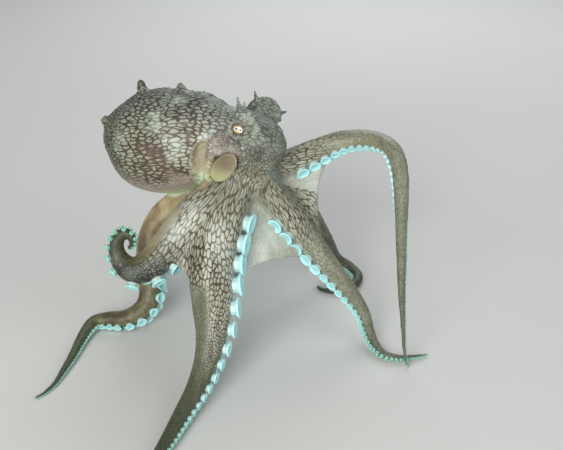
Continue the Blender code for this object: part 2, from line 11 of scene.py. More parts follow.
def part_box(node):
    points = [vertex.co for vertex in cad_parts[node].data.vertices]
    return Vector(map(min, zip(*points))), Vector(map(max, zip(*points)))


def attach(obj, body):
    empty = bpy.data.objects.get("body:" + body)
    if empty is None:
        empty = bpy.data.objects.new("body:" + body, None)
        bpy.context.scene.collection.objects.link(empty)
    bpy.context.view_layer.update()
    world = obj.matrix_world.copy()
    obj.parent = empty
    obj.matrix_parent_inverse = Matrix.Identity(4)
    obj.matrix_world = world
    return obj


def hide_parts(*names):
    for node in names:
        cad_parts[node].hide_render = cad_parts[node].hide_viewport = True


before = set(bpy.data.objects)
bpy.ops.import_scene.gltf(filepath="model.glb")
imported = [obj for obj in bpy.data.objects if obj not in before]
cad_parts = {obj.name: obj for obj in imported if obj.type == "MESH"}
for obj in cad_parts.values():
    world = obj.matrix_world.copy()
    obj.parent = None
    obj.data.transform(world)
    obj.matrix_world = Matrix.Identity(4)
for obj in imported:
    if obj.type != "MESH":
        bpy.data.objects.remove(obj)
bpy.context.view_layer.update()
print("frame loaded")

# A coconut octopus, life size. Shapes are worked out in millimetres, in the pose's own frame, and
# each finished mesh is then scaled to metres and moved onto the CAD frame.
mm = 0.001
rng = np.random.default_rng(11)

eyes = {
    "right": dict(centre=(-4.5, -1.5, 117.0), look=(-0.22, -0.9, 0.28), node="eye_right"),
    "left": dict(centre=(8.0, 19.0, 117.0), look=(0.62, 0.74, 0.25), node="eye_left"),
}
eyeLow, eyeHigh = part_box("eye_right")
shift = (eyeLow + eyeHigh) / 2 - Vector(eyes["right"]["centre"]) * mm
toFrame = Matrix.Translation(shift) @ Matrix.Scale(mm, 4)

view = dict(place=(17.0, -493.0, 310.5), tilt=27.0, focal=1000.0, width=563, height=450, sensor=36.0)


def unit(vector):
    vector = np.asarray(vector, float)
    return vector / max(np.linalg.norm(vector), 1e-9)


def unitRows(rows):
    return rows / np.linalg.norm(rows, axis=1)[:, None]


# The part of a vector that is square to an axis, at unit length.
def squareTo(vector, axis):
    return unit(vector - np.dot(vector, axis) * axis)


def runningSum(steps):
    return np.concatenate([[0.0], np.cumsum(steps)])


def ramp(values, low, high):
    t = np.clip((np.asarray(values, float) - low) / (high - low), 0.0, 1.0)
    return t * t * (3 - 2 * t)


def fall(values, low, high):
    return 1 - ramp(values, low, high)


def smoothRows(rows, perSpan=16):
    rows = np.asarray(rows, float)
    ends = np.vstack([2 * rows[0] - rows[1], rows, 2 * rows[-1] - rows[-2]])
    made = []
    for index in range(len(rows) - 1):
        a, b, c, d = ends[index:index + 4]
        for t in np.linspace(0.0, 1.0, perSpan, endpoint=False):
            made.append(0.5 * (2 * b + (c - a) * t + (2 * a - 5 * b + 4 * c - d) * t * t
                               + (3 * b - a - 3 * c + d) * t ** 3))
    made.append(rows[-1])
    return np.array(made)


# An arm's centre line with its radius and the way its suckers face at every point.
def makeLimb(rows, under, turns=((0, 0),)):
    fine = smoothRows(rows)
    place, radius = fine[:, :3], np.maximum(fine[:, 3], 0.35)
    length = runningSum(np.linalg.norm(np.diff(place, axis=0), axis=1))
    ahead = unitRows(np.gradient(place, axis=0))
    down = [squareTo(np.asarray(under, float), ahead[0])]
    for axis in ahead[1:]:
        down.append(squareTo(down[-1], axis))
    down = np.array(down)
    lengths, degrees = np.array(turns, float).T
    turn = np.radians(np.interp(length, lengths, degrees))[:, None]
    down = np.cos(turn) * down + np.sin(turn) * np.cross(ahead, down)
    return dict(place=place, radius=radius, length=length, total=length[-1], ahead=ahead,
                down=down, side=np.cross(ahead, down))


def limbAt(limb, s):
    s = min(max(s, 0.0), limb["total"])
    blend = lambda key: np.array([np.interp(s, limb["length"], limb[key][:, k]) for k in range(3)])
    ahead = unit(blend("ahead"))
    down = squareTo(blend("down"), ahead)
    radius = float(np.interp(s, limb["length"], limb["radius"]))
    return blend("place"), ahead, down, np.cross(ahead, down), radius


def axesMatrix(place, side, over, facing, width=1.0, height=1.0, depth=1.0):
    made = Matrix.Identity(4)
    for k in range(3):
        made[k][0], made[k][1] = side[k] * width, over[k] * height
        made[k][2], made[k][3] = facing[k] * depth, place[k]
    return made


def frameOf(facing, up=(0.0, 0.0, 1.0)):
    facing = unit(facing)
    side = unit(np.cross(up, facing))
    return side, np.cross(facing, side), facing


def addRing(bm, matrix, segments):
    made = bmesh.ops.create_circle(bm, cap_ends=False, segments=segments, radius=1.0, matrix=matrix)["verts"]
    return made, list({edge for vert in made for edge in vert.link_edges})


# Rings bridged one to the next and closed at both ends.
def loft(bm, matrices, segments, shapeRing=None):
    last = None
    for index, matrix in enumerate(matrices):
        verts, edges = addRing(bm, matrix, segments)
        if shapeRing:
            shapeRing(index, verts)
        if last:
            bmesh.ops.bridge_loops(bm, edges=last + edges)
        last = edges
    bmesh.ops.holes_fill(bm, edges=[edge for edge in bm.edges if edge.is_boundary], sides=0)
    bmesh.ops.recalc_face_normals(bm, faces=bm.faces)


def meshFrom(name, bm):
    made = bpy.data.meshes.new(name)
    bm.to_mesh(made)
    bm.free()
    return made


def objectFrom(name, mesh):
    made = bpy.data.objects.new(name, mesh)
    bpy.context.collection.objects.link(made)
    return made


def vectorsOf(mesh, kind):
    made = np.zeros(len(mesh.vertices) * 3, np.float32)
    mesh.vertices.foreach_get(kind, made)
    return made.reshape(-1, 3).astype(float)


def coordsOf(mesh):
    return vectorsOf(mesh, "co")


def setCoords(mesh, coords):
    mesh.vertices.foreach_set("co", np.asarray(coords, np.float32).ravel())
    mesh.update()


def keepMask(mesh, name, values):
    made = mesh.attributes.new(name, "FLOAT", "POINT")
    made.data.foreach_set("value", np.asarray(values, np.float32))


def keepVector(mesh, name, values):
    made = mesh.attributes.new(name, "FLOAT_VECTOR", "POINT")
    made.data.foreach_set("vector", np.asarray(values, np.float32).ravel())


# A profile already in the mesh, turned once round the z axis and closed.
def spinRound(bm, geometry, rounds):
    bmesh.ops.spin(bm, geom=geometry, cent=(0, 0, 0), axis=(0, 0, 1), angle=math.tau, steps=rounds,
                   use_merge=True)
    bmesh.ops.remove_doubles(bm, verts=bm.verts, dist=1e-4)
    bmesh.ops.recalc_face_normals(bm, faces=bm.faces)


# A profile of radius and height, turned round the z axis.
def turnedMesh(name, profile, rounds):
    bm = bmesh.new()
    points = [bm.verts.new((radius, 0.0, height)) for radius, height in profile]
    edges = [bm.edges.new(pair) for pair in zip(points, points[1:])]
    spinRound(bm, points + edges, rounds)
    return meshFrom(name, bm)


# Into metres and the CAD frame, smooth shaded, on the animal's one body.
def settle(piece, material, nodes=()):
    piece.data.transform(toFrame)
    for face in piece.data.polygons:
        face.use_smooth = True
    piece.data.materials.clear()
    piece.data.materials.append(material)
    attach(piece, "root")
    if nodes:
        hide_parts(*nodes)


def addNode(tree, kind, inputs=None, **settings):
    node = tree.nodes.new(kind)
    for key, value in settings.items():
        setattr(node, key, value)
    for key, value in (inputs or {}).items():
        if isinstance(value, bpy.types.NodeSocket):
            tree.links.new(value, node.inputs[key])
        else:
            node.inputs[key].default_value = value
    return node


def doMath(tree, operation, a, b=None, clamp=False):
    inputs = {0: a} if b is None else {0: a, 1: b}
    return addNode(tree, "ShaderNodeMath", inputs, operation=operation, use_clamp=clamp).outputs[0]


def times(tree, a, b):
    return doMath(tree, "MULTIPLY", a, b)


def plus(tree, a, b, clamp=False):
    return doMath(tree, "ADD", a, b, clamp)


def minus(tree, a, b):
    return doMath(tree, "SUBTRACT", a, b)


def lacking(tree, value):
    return minus(tree, 1.0, value)


def doVector(tree, operation, a, b):
    second = "Scale" if operation == "SCALE" else 1
    return addNode(tree, "ShaderNodeVectorMath", {0: a, second: b}, operation=operation).outputs[0]


def smoothStep(tree, value, low, high):
    node = addNode(tree, "ShaderNodeMapRange", {"Value": value, "From Min": low, "From Max": high},
                   interpolation_type="SMOOTHSTEP")
    return node.outputs["Result"]


def mapRange(tree, value, band, to):
    made = addNode(tree, "ShaderNodeMapRange", {"Value": value, "From Min": band[0], "From Max": band[1],
                                               "To Min": to[0], "To Max": to[1]})
    return made.outputs["Result"]


def addNoise(tree, vector, scale, detail=2.0):
    return addNode(tree, "ShaderNodeTexNoise", {"Vector": vector, "Scale": scale, "Detail": detail}).outputs


def mixValue(tree, share, a, b):
    return addNode(tree, "ShaderNodeMix", {0: share, 2: a, 3: b}, data_type="FLOAT").outputs[0]


def mixColour(tree, share, a, b, blend="MIX"):
    fix = lambda c: (*c, 1.0) if isinstance(c, tuple) and len(c) == 3 else c
    inputs = {0: share, 6: fix(a), 7: fix(b)}
    return addNode(tree, "ShaderNodeMix", inputs, data_type="RGBA", blend_type=blend).outputs[2]


# One colour laid over another where a mask says, in full or in part.
def tint(tree, colour, mask, over, strength=1.0):
    return mixColour(tree, times(tree, mask, strength) if strength < 1.0 else mask, colour, over)


def readMask(tree, name, output="Fac"):
    return addNode(tree, "ShaderNodeAttribute", attribute_name=name).outputs[output]


# Inputs are numbers with their first values, or a vector where there is none, and outputs are numbers.
def newGroup(name, inputs, outputs):
    tree = bpy.data.node_groups.new(name, "ShaderNodeTree")
    for label, value in inputs.items():
        kind = "NodeSocketVector" if value is None else "NodeSocketFloat"
        socket = tree.interface.new_socket(label, in_out="INPUT", socket_type=kind)
        if value is not None:
            socket.default_value = value
    for label in outputs:
        tree.interface.new_socket(label, in_out="OUTPUT", socket_type="NodeSocketFloat")
    start = tree.nodes.new("NodeGroupInput")
    end = tree.nodes.new("NodeGroupOutput")
    return tree, start.outputs, end.inputs


def addSeed(tree, vector, seed):
    steps = addNode(tree, "ShaderNodeCombineXYZ", {0: seed, 1: seed, 2: seed}).outputs[0]
    return doVector(tree, "ADD", vector, steps)


# How the cells are drawn: weights of the distances to a cell's edge and from its middle, how far the
# lines' width wanders, and the depth at which a cell is level.
cellShape = dict(edge=1.6, middle=0.16, rounding=0.30, uneven=0.46, level=0.6, waves=0.8, unevenWaves=1.7,
                 randomness=0.96)


# Rounded cells of skin on flat coordinates. Ink fills the ground between them: a little gives thin
# lines, much leaves only a pale dot in each cell.
def makeCellPattern():
    tree, ins, outs = newGroup("cellPattern", dict(Vector=None, Ink=0.1, Soft=0.25, Warp=0.5, Seed=0.0),
                               ("Line", "Cell", "Dome"))
    start = addSeed(tree, ins["Vector"], ins["Seed"])
    centred = doVector(tree, "SUBTRACT", addNoise(tree, start, cellShape["waves"])["Color"], (0.5, 0.5, 0.5))
    place = doVector(tree, "ADD", start, doVector(tree, "SCALE", centred, ins["Warp"]))
    cells = {"Vector": place, "Scale": 1.0, "Randomness": cellShape["randomness"]}
    edge = addNode(tree, "ShaderNodeTexVoronoi", cells, voronoi_dimensions="2D",
                   feature="DISTANCE_TO_EDGE").outputs["Distance"]
    cell = addNode(tree, "ShaderNodeTexVoronoi", cells, voronoi_dimensions="2D", feature="F1").outputs
    # Depth inside the cell: the distance to its edge, made rounder by the distance from its middle.
    middle = minus(tree, cellShape["middle"], times(tree, cell["Distance"], cellShape["rounding"]))
    depth = plus(tree, times(tree, edge, cellShape["edge"]), middle)
    uneven = minus(tree, addNoise(tree, start, cellShape["unevenWaves"])["Fac"], 0.5)
    limit = plus(tree, ins["Ink"], times(tree, uneven, cellShape["uneven"]))
    inside = doMath(tree, "DIVIDE", minus(tree, depth, limit), ins["Soft"], True)
    shade = addNode(tree, "ShaderNodeSeparateColor", {0: cell["Color"]})
    tree.links.new(lacking(tree, smoothStep(tree, inside, 0.0, 1.0)), outs["Line"])
    tree.links.new(shade.outputs[0], outs["Cell"])
    tree.links.new(smoothStep(tree, depth, 0.0, cellShape["level"]), outs["Dome"])
    return tree


grainShape = dict(warts=0.75, wartBand=(0.1, 0.75), pores=2.6, poreDetail=4.0, drift=0.11)


# Fine grain of the skin: small warts, pores and a slow drift of tone, in object coordinates.
def makeFineGrain():
    tree, ins, outs = newGroup("fineGrain", dict(Size=1.0, Seed=0.0), ("Wart", "Pore", "Drift"))
    place = addNode(tree, "ShaderNodeTexCoord").outputs["Object"]
    sized = doVector(tree, "SCALE", place, doMath(tree, "DIVIDE", 1 / mm, ins["Size"]))
    spot = addSeed(tree, sized, ins["Seed"])
    cells = {"Vector": spot, "Scale": grainShape["warts"], "Randomness": 1.0}
    warts = addNode(tree, "ShaderNodeTexVoronoi", cells, feature="SMOOTH_F1").outputs["Distance"]
    wart = mapRange(tree, warts, grainShape["wartBand"], (1.0, 0.0))
    pore = addNoise(tree, spot, grainShape["pores"], grainShape["poreDetail"])["Fac"]
    drift = addNoise(tree, spot, grainShape["drift"])["Fac"]
    for label, value in (("Wart", wart), ("Pore", pore), ("Drift", drift)):
        tree.links.new(value, outs[label])
    return tree


cellPattern = makeCellPattern()
fineGrain = makeFineGrain()


def useGroup(tree, group, inputs):
    return addNode(tree, "ShaderNodeGroup", inputs, node_tree=group).outputs


def useGrain(tree, size, seed):
    return useGroup(tree, fineGrain, {"Size": size, "Seed": seed})


def newMaterial(name, settings):
    made = bpy.data.materials.new(name)
    made.use_nodes = True
    shader = made.node_tree.nodes["Principled BSDF"]
    for key, value in settings.items():
        shader.inputs[key].default_value = value
    return made, made.node_tree, shader.inputs


# Gives a shader its colour, its bump and, where there is one, its roughness.
def dress(tree, shader, look, colour, height, rough=None):
    bump = addNode(tree, "ShaderNodeBump", {"Height": height, "Strength": look["bump"],
                                           "Distance": look["bumpDepth"]})
    tree.links.new(colour, shader["Base Color"])
    tree.links.new(bump.outputs["Normal"], shader["Normal"])
    if rough:
        tree.links.new(rough, shader["Roughness"])


# Colours of the skin, then how wide and soft the lines are, how strongly each colour lies over the
# rest, the bump's heights, and between which values of the grain a change runs.
skinLook = dict(
    cream=(0.48, 0.50, 0.41), sand=(0.29, 0.275, 0.205), pale=(0.60, 0.66, 0.61), stain=(0.175, 0.122, 0.098),
    line=(0.050, 0.038, 0.025), lineTan=(0.120, 0.086, 0.050), rust=(0.122, 0.078, 0.056),
    grey=(0.155, 0.178, 0.16), greyPale=(0.34, 0.38, 0.35), greyLine=(0.062, 0.056, 0.044),
    tan=(0.27, 0.20, 0.105), tanPale=(0.50, 0.415, 0.245), tanLight=(0.46, 0.45, 0.34),
    umber=(0.118, 0.064, 0.042), olive=(0.088, 0.098, 0.058), oliveLight=(0.205, 0.210, 0.130),
    oliveDark=(0.058, 0.070, 0.042), plum=(0.036, 0.030, 0.034), rosy=(0.40, 0.285, 0.225),
    pepper=(0.50, 0.51, 0.46), mint=(0.54, 0.68, 0.44), dusk=(0.33, 0.37, 0.28),
    ink=0.10, inkBlotch=0.34, inkStreak=0.07, inkGrey=0.03, soft=0.23, softBlotch=0.42, warp=0.85,
    toneByCell=0.35, toneByStreak=0.65, paleCells=0.9, stainedCells=0.45, poresInCells=0.16, tanInLines=0.5,
    poresInTan=0.14, umberInTan=0.8, paleInTan=0.8, greyInOlive=0.75,
    pepperFrom=(0.58, 0.42), pepperTo=(0.84, 0.74), roughness=(0.36, 0.58), domes=0.6, warts=0.45,
    pits=0.25, bump=0.55, bumpDepth=0.0006, poreBand=(0.42, 0.66), slowBand=(0.38, 0.68),
    granuleBand=(0.25, 0.8), roughBand=(0.3, 0.7),
)
maskNames = ("lineStrength", "streak", "tan", "olive", "rust", "mint", "pale", "speckle", "grey", "dim")
shareNames = ("oddShare", "bodyShare", "backShare")


def makeSkinMaterial():
    look = skinLook
    made, tree, shader = newMaterial("octopusSkin", {
        "Specular IOR Level": 0.4, "Coat Weight": 0.12, "Coat Roughness": 0.3, "Subsurface Weight": 0.10,
        "Subsurface Scale": 0.0012, "Subsurface Radius": (1.0, 0.45, 0.3)})
    grain, fine = useGrain(tree, 1.0, 3.0), useGrain(tree, 0.62, 9.0)
    masks = {name: readMask(tree, name) for name in shareNames + maskNames}
    rust, grey, streak, pale = (masks[name] for name in ("rust", "grey", "streak", "pale"))
    ink = mixValue(tree, rust, look["ink"], look["inkBlotch"])
    ink = plus(tree, ink, times(tree, lacking(tree, streak), look["inkStreak"]))
    ink = plus(tree, ink, times(tree, grey, look["inkGrey"]))
    soft = mixValue(tree, rust, look["soft"], look["softBlotch"])
    drawing = {"Ink": ink, "Soft": soft, "Warp": look["warp"]}
    charts = [
        useGroup(tree, cellPattern, {"Vector": readMask(tree, name, "Vector"), "Seed": seed, **drawing})
        for name, seed in (("flowEven", 3.1), ("flowOdd", 17.7), ("flowBody", 41.3), ("flowBack", 58.9))
    ]
    mixed = {}
    for key in ("Line", "Cell", "Dome"):
        onArms = mixValue(tree, masks["oddShare"], charts[0][key], charts[1][key])
        onBody = mixValue(tree, masks["backShare"], charts[2][key], charts[3][key])
        mixed[key] = mixValue(tree, masks["bodyShare"], onArms, onBody)

    # Cells run from sand to cream, in streaks, with brown speckle a tenth of a millimetre across.
    byCell = times(tree, mixed["Cell"], look["toneByCell"])
    byStreak = times(tree, streak, look["toneByStreak"])
    tone = plus(tree, byCell, byStreak, True)
    pores = smoothStep(tree, grain["Pore"], *look["poreBand"])
    cells = mixColour(tree, tone, look["sand"], look["cream"])
    cells = tint(tree, cells, grey, mixColour(tree, tone, look["grey"], look["greyPale"]))
    cells = tint(tree, cells, pale, look["pale"], look["paleCells"])
    cells = tint(tree, cells, rust, look["stain"], look["stainedCells"])
    cells = tint(tree, cells, pores, look["line"], look["poresInCells"])
    lines = tint(tree, look["line"], streak, look["lineTan"], look["tanInLines"])
    lines = tint(tree, lines, rust, look["rust"])
    lines = tint(tree, lines, grey, look["greyLine"])
    colour = mixColour(tree, times(tree, mixed["Line"], masks["lineStrength"]), cells, lines)

    # Smooth ochre parts, with slow brown shading.
    slow = smoothStep(tree, grain["Drift"], *look["slowBand"])
    ochre = mixColour(tree, slow, look["tan"], look["tanPale"])
    ochre = tint(tree, ochre, pores, look["rust"], look["poresInTan"])
    ochre = tint(tree, ochre, rust, look["umber"], look["umberInTan"])
    ochre = tint(tree, ochre, pale, look["tanLight"], look["paleInTan"])
    colour = tint(tree, colour, masks["tan"], ochre)
    # Olive outer lengths, granular.
    granules = smoothStep(tree, grain["Wart"], *look["granuleBand"])
    olives = mixColour(tree, granules, look["olive"], look["oliveLight"])
    olives = tint(tree, olives, grey, look["oliveDark"], look["greyInOlive"])
    colour = tint(tree, colour, masks["olive"], olives)
    # Dark or rosy skin peppered with white, then the mint rim and the shade over all.
    low, high = mixValue(tree, rust, *look["pepperFrom"]), mixValue(tree, rust, *look["pepperTo"])
    pepper = smoothStep(tree, fine["Wart"], low, high)
    ground = tint(tree, mixColour(tree, slow, look["plum"], look["grey"]), rust, look["rosy"])
    colour = tint(tree, colour, masks["speckle"], tint(tree, ground, pepper, look["pepper"]))
    colour = tint(tree, colour, masks["mint"], look["mint"])
    colour = mixColour(tree, masks["dim"], colour, look["dusk"], "MULTIPLY")

    # Cells stand a little proud of the lines, with warts and pores on them.
    height = times(tree, mixed["Dome"], times(tree, masks["lineStrength"], look["domes"]))
    height = plus(tree, height, times(tree, grain["Wart"], look["warts"]))
    height = plus(tree, height, times(tree, grain["Pore"], look["pits"]))
    rough = mapRange(tree, grain["Pore"], look["roughBand"], look["roughness"])
    dress(tree, shader, look, colour, height, rough)
    return made


# The eight arms: rows of x, y, z and radius, the way the suckers face at the root, and the length that
# the web spans. Turns roll the suckers round the arm, by length and degrees.
arms = {
    "arm_r1": dict(
        rows=[
            (3, 0, 86, 10), (14, -4, 75, 9.8), (27, -8, 59, 8.6), (41, -12.5, 42, 6.9),
            (54.2, -16.5, 26, 5.3), (61.9, -20, 15, 4.2), (65, -26, 7.5, 3.5), (67.8, -35, 3.6, 3.0),
            (72.3, -42.5, 2.4, 2.5), (79, -45.3, 2.0, 2.1), (87, -44, 1.5, 1.6), (93, -41.8, 1.1, 1.1),
            (96.3, -40.3, 0.8, 0.7),
        ], under=(-0.6, -0.3, -0.8), web=58),
    "arm_r2": dict(
        rows=[
            (-5, -4, 86, 11), (-12, -14, 74, 13), (-17, -26, 61, 13.5), (-18.5, -38, 49, 13),
            (-18, -50, 38, 11.5), (-18, -61, 28, 9.2), (-20.5, -71, 18, 7.2), (-25.5, -82, 9, 5.7),
            (-32, -98, 4.3, 4.6), (-38, -118, 3.3, 3.6), (-44, -134, 2.3, 2.5), (-53, -145, 1.4, 1.4),
            (-60, -149, 0.8, 0.7),
        ], under=(0.85, 0.35, -0.2), web=70, dip=0.09),
    "arm_r3": dict(
        rows=[
            (-10, -2, 85, 10), (-21, -11, 78, 11.5), (-32, -17, 69, 11.5), (-42, -23, 59, 10.5),
            (-51, -27, 50, 9.5), (-60, -29, 46.5, 8.2), (-67, -28, 49, 6.6), (-70.8, -26, 56, 4.9),
            (-70.2, -25.5, 63, 4.1), (-65.8, -26, 68.3, 3.1), (-61.9, -27, 66.5, 2.6),
            (-61.3, -28, 62.6, 2.0), (-63.9, -29, 59.5, 1.1),
        ], under=(-0.3, -0.5, -0.8), web=55, brim=0.8),
    "arm_r4": dict(
        rows=[
            (-12, 6, 81, 9), (-27, 13, 72, 8.6), (-42, 16, 64, 8.0), (-52, 13, 56, 7.5),
            (-57.5, 7, 45, 7.3), (-58, 2, 31, 7.3), (-57, -3, 18.5, 7.0), (-60.3, -8.6, 10.5, 6.4),
            (-70.3, -12, 5.7, 5.6), (-81, -11.3, 4.7, 4.7), (-88.8, -12.6, 4.0, 4.0),
            (-92.3, -20, 3.3, 3.4), (-94.3, -31, 2.8, 2.9), (-96, -44, 2.3, 2.4), (-98.3, -56, 1.8, 1.9),
            (-100.7, -67, 1.3, 1.4), (-104, -74, 1.0, 1.1), (-108.8, -79.5, 0.8, 0.7),
        ], under=(0.39, -0.29, -0.87), web=50),
    "arm_l1": dict(
        rows=[
            (4, 6, 86, 10), (18, 14, 88, 9.0), (34, 18.5, 94, 7.6), (47.5, 18.5, 100.6, 6.2),
            (56.5, 15.5, 103.8, 5.5), (64.5, 11, 105.8, 5.1), (71.5, 4, 106.6, 4.8),
            (75.8, -4, 105.8, 4.7), (78, -11.5, 102.5, 4.6), (79.2, -17.5, 95.5, 4.3),
            (79.7, -21, 85, 3.9), (80, -25.5, 70, 3.3), (80.3, -31, 54, 2.7), (80.6, -37, 38, 2.1),
            (81.5, -42, 24, 1.6), (82.4, -47, 10, 1.2), (83, -49.4, 4.2, 1.0), (84, -50.8, 1.5, 0.85),
            (85.3, -51.8, 0.75, 0.65),
        ], under=(0.32, -0.36, -0.88), web=50, turns=((100, 0), (125, 28), (160, 50))),
    "arm_l2": dict(
        rows=[
            (3, 12, 86, 10), (13, 24, 76, 9.6), (24, 34, 60, 8.6), (34, 42, 42, 7.2), (43, 48, 24, 5.8),
            (50, 52, 9, 4.8), (59, 50, 4.1, 3.9), (64, 40, 3.2, 3.3), (60, 30, 2.6, 2.7),
            (51, 25, 2.0, 2.1), (42, 27, 1.5, 1.5), (38, 33, 0.9, 0.8),
        ], under=(-0.4, -0.4, -0.8), web=58),
    "arm_l3": dict(
        rows=[
            (-4, 12, 86, 10), (-7, 27, 77, 9.6), (-11, 42, 60, 8.6), (-14, 54, 42, 7.2),
            (-15, 64, 24, 5.8), (-15, 73, 9, 4.8), (-19, 83, 4.1, 3.9), (-29, 88, 3.2, 3.3),
            (-38, 83, 2.6, 2.7), (-40, 74, 2.0, 2.1), (-35, 68, 1.5, 1.5), (-29, 70, 0.9, 0.8),
        ], under=(0.1, -0.6, -0.8), web=58),
    "arm_l4": dict(
        rows=[
            (-12, 10, 83, 9.5), (-24, 22, 73, 8.8), (-35, 33, 59, 8.2), (-43, 42, 41, 7.0),
            (-50, 49, 24, 5.8), (-56, 54, 9, 4.8), (-65, 59, 4.1, 3.9), (-72, 68, 3.2, 3.3),
            (-71, 79, 2.6, 2.7), (-63, 85, 2.0, 2.1), (-55, 82, 1.5, 1.5), (-53, 75, 0.9, 0.8),
        ], under=(0.5, -0.4, -0.8), web=54),
}
armOrder = ["arm_r1", "arm_r2", "arm_r3", "arm_r4", "arm_l4", "arm_l3", "arm_l2", "arm_l1"]
limbs = {name: makeLimb(arm["rows"], arm["under"], arm.get("turns", ((0, 0),))) for name, arm in arms.items()}
armShape = dict(segments=24, oral=0.80, step=1.6, tipStep=0.5)


def armMesh(name):
    limb = limbs[name]
    lengths = [0.0]
    while lengths[-1] < limb["total"] - 0.5:
        radius = limbAt(limb, lengths[-1])[4]
        lengths.append(lengths[-1] + max(armShape["tipStep"], min(armShape["step"], radius * 0.4)))
    lengths[-1] = limb["total"]
    stands = [limbAt(limb, s) for s in lengths]
    matrices = [axesMatrix(place, side, down, ahead, radius, radius)
                for place, ahead, down, side, radius in stands]

    # The side with the suckers is a little flatter.
    def flatten(index, verts):
        place, down = Vector(stands[index][0]), Vector(stands[index][2])
        for vert in verts:
            depth = (vert.co - place).dot(down)
            if depth > 0:
                vert.co -= down * depth * (1 - armShape["oral"])

    bm = bmesh.new()
    loft(bm, matrices, armShape["segments"], flatten)
    return meshFrom(name, bm)


# The web between neighbouring arms. The dip hangs the edge between them, and the brim lifts it onto an arm.
webShape = dict(thickness=2.2, dip=0.18, across=16, along=26, start=0.10, rise=0.35)


def webMesh(firstName, secondName):
    reachFirst, reachSecond = arms[firstName]["web"], arms[secondName]["web"]
    deep, brim = arms[firstName].get("dip", webShape["dip"]), arms[secondName].get("brim", 0.0)
    bm = bmesh.new()
    bmesh.ops.create_grid(bm, x_segments=webShape["across"], y_segments=webShape["along"], size=0.5)
    for vert in bm.verts:
        u, v = vert.co.x + 0.5, vert.co.y + 0.5
        dip = 1.0 - deep * 4 * u * (1 - u)
        t = (webShape["start"] + (1 - webShape["start"]) * v) * dip
        first, _, downFirst, _, radiusFirst = limbAt(limbs[firstName], reachFirst * t)
        second, _, downSecond, sideSecond, radiusSecond = limbAt(limbs[secondName], reachSecond * t)
        first = first - downFirst * radiusFirst * webShape["rise"]
        second = second + radiusSecond * (sideSecond * brim - downSecond * webShape["rise"])
        vert.co = Vector(first * (1 - u) + second * u)
    bmesh.ops.recalc_face_normals(bm, faces=bm.faces)
    bmesh.ops.solidify(bm, geom=bm.faces[:], thickness=webShape["thickness"])
    bmesh.ops.recalc_face_normals(bm, faces=bm.faces)
    return meshFrom("web", bm)


def ballMesh(name, centre, radii, facing=(1, 0, 0), up=(0, 0, 1)):
    side, over, forward = frameOf(facing, up)
    bm = bmesh.new()
    bmesh.ops.create_uvsphere(bm, u_segments=28, v_segments=18, radius=1.0,
                              matrix=axesMatrix(centre, side, over, forward, radii[1], radii[2], radii[0]))
    bmesh.ops.recalc_face_normals(bm, faces=bm.faces)
    return meshFrom(name, bm)


# Rings along rows that hold a place and a radius, or a place, a half width and a half height.
def ringsAlong(rows, perSpan, up, least):
    fine = smoothRows(rows, perSpan)
    made = []
    for row, ahead in zip(fine, np.gradient(fine[:, :3], axis=0)):
        side, over, forward = frameOf(ahead, up)
        made.append(axesMatrix(row[:3], side, over, forward, max(row[3], least), max(row[-1], least)))
    return made


def tubeMesh(name, rows, segments=14, perSpan=6, up=(0.2, 0.3, 0.95), least=0.2):
    bm = bmesh.new()
    loft(bm, ringsAlong(rows, perSpan, up, least), segments)
    return meshFrom(name, bm)


def sacMesh(name, rows):
    return tubeMesh(name, rows, 40, 8, (0, 0, 1), 0.3)


mantle = dict(
    rows=[
        (-80, 33, 97, 0.5, 0.5), (-77.5, 32, 97.5, 10, 10), (-72, 30, 98.5, 18, 19),
        (-62, 26.5, 98.9, 25, 26.6), (-49, 22, 100.3, 27.5, 29.2), (-36, 17, 102.9, 26, 28.1),
        (-26, 13, 105.5, 22.5, 25.5), (-19, 10, 107, 19, 22.5), (-14, 8, 108, 1, 1),
    ],
    opening=dict(centre=(-25.2, -9.5, 99.0), radii=(13.5, 5.6, 6.0), facing=(0.10, 0.20, 1.0)),
)
head = dict(
    rows=[
        (-30, 13, 106, 1, 1), (-27, 12.5, 106, 15, 18), (-20, 10.5, 107, 19, 21.8),
        (-14.5, 9, 107, 17.3, 19.5), (-9, 8, 107.3, 16, 17.4), (-4, 7, 107.5, 15.5, 16.5),
        (5, 4, 106, 14.5, 15), (10, 2, 102.5, 11.5, 12.5), (13.5, -1, 99, 6.5, 8), (15.5, -2, 97, 1, 1),
    ],
    bulge=8.2, lidNear=3.55, lidFar=5.3,
)
crown = dict(centre=(-4.0, 3.0, 88.0), radii=(21.0, 19.0, 13.0))

# Horns of skin: root, tip, root radius and outline, blunt on the mantle and slender by the eyes.
blunt = ((0.0, 1.0), (0.35, 0.90), (0.68, 0.80), (0.90, 0.58), (1.0, 0.30))
slender = ((0.0, 1.0), (0.35, 0.70), (0.68, 0.40), (0.90, 0.24), (1.0, 0.10))
horns = [
    ((-58, 29, 122), (-60.5, 30, 133.2), 3.4, blunt), ((-36, 21, 125), (-38, 22, 134.2), 3.5, blunt),
    ((-73, 25, 107), (-81.8, 24, 113.0), 3.9, blunt), ((-4.5, 2.0, 121), (-6, 1.0, 133.5), 3.0, slender),
    ((-2.0, 1.5, 121), (-2.5, 1.0, 131), 2.4, slender), ((4.5, 19, 121), (2.5, 18, 131), 2.8, slender),
    ((14, 20, 117), (20, 21, 118), 2.6, slender),
]


def hornRows(root, tip, radius, outline):
    root, tip = np.asarray(root, float), np.asarray(tip, float)
    return [(*(root + (tip - root) * t), radius * share) for t, share in outline]


# A place near an eye, given by steps to the camera's right, up in the picture and towards the camera.
tiltSin, tiltCos = math.sin(math.radians(view["tilt"])), math.cos(math.radians(view["tilt"]))
pictureUp = np.array((0.0, tiltSin, tiltCos))
pictureBack = np.array((0.0, -tiltCos, tiltSin))


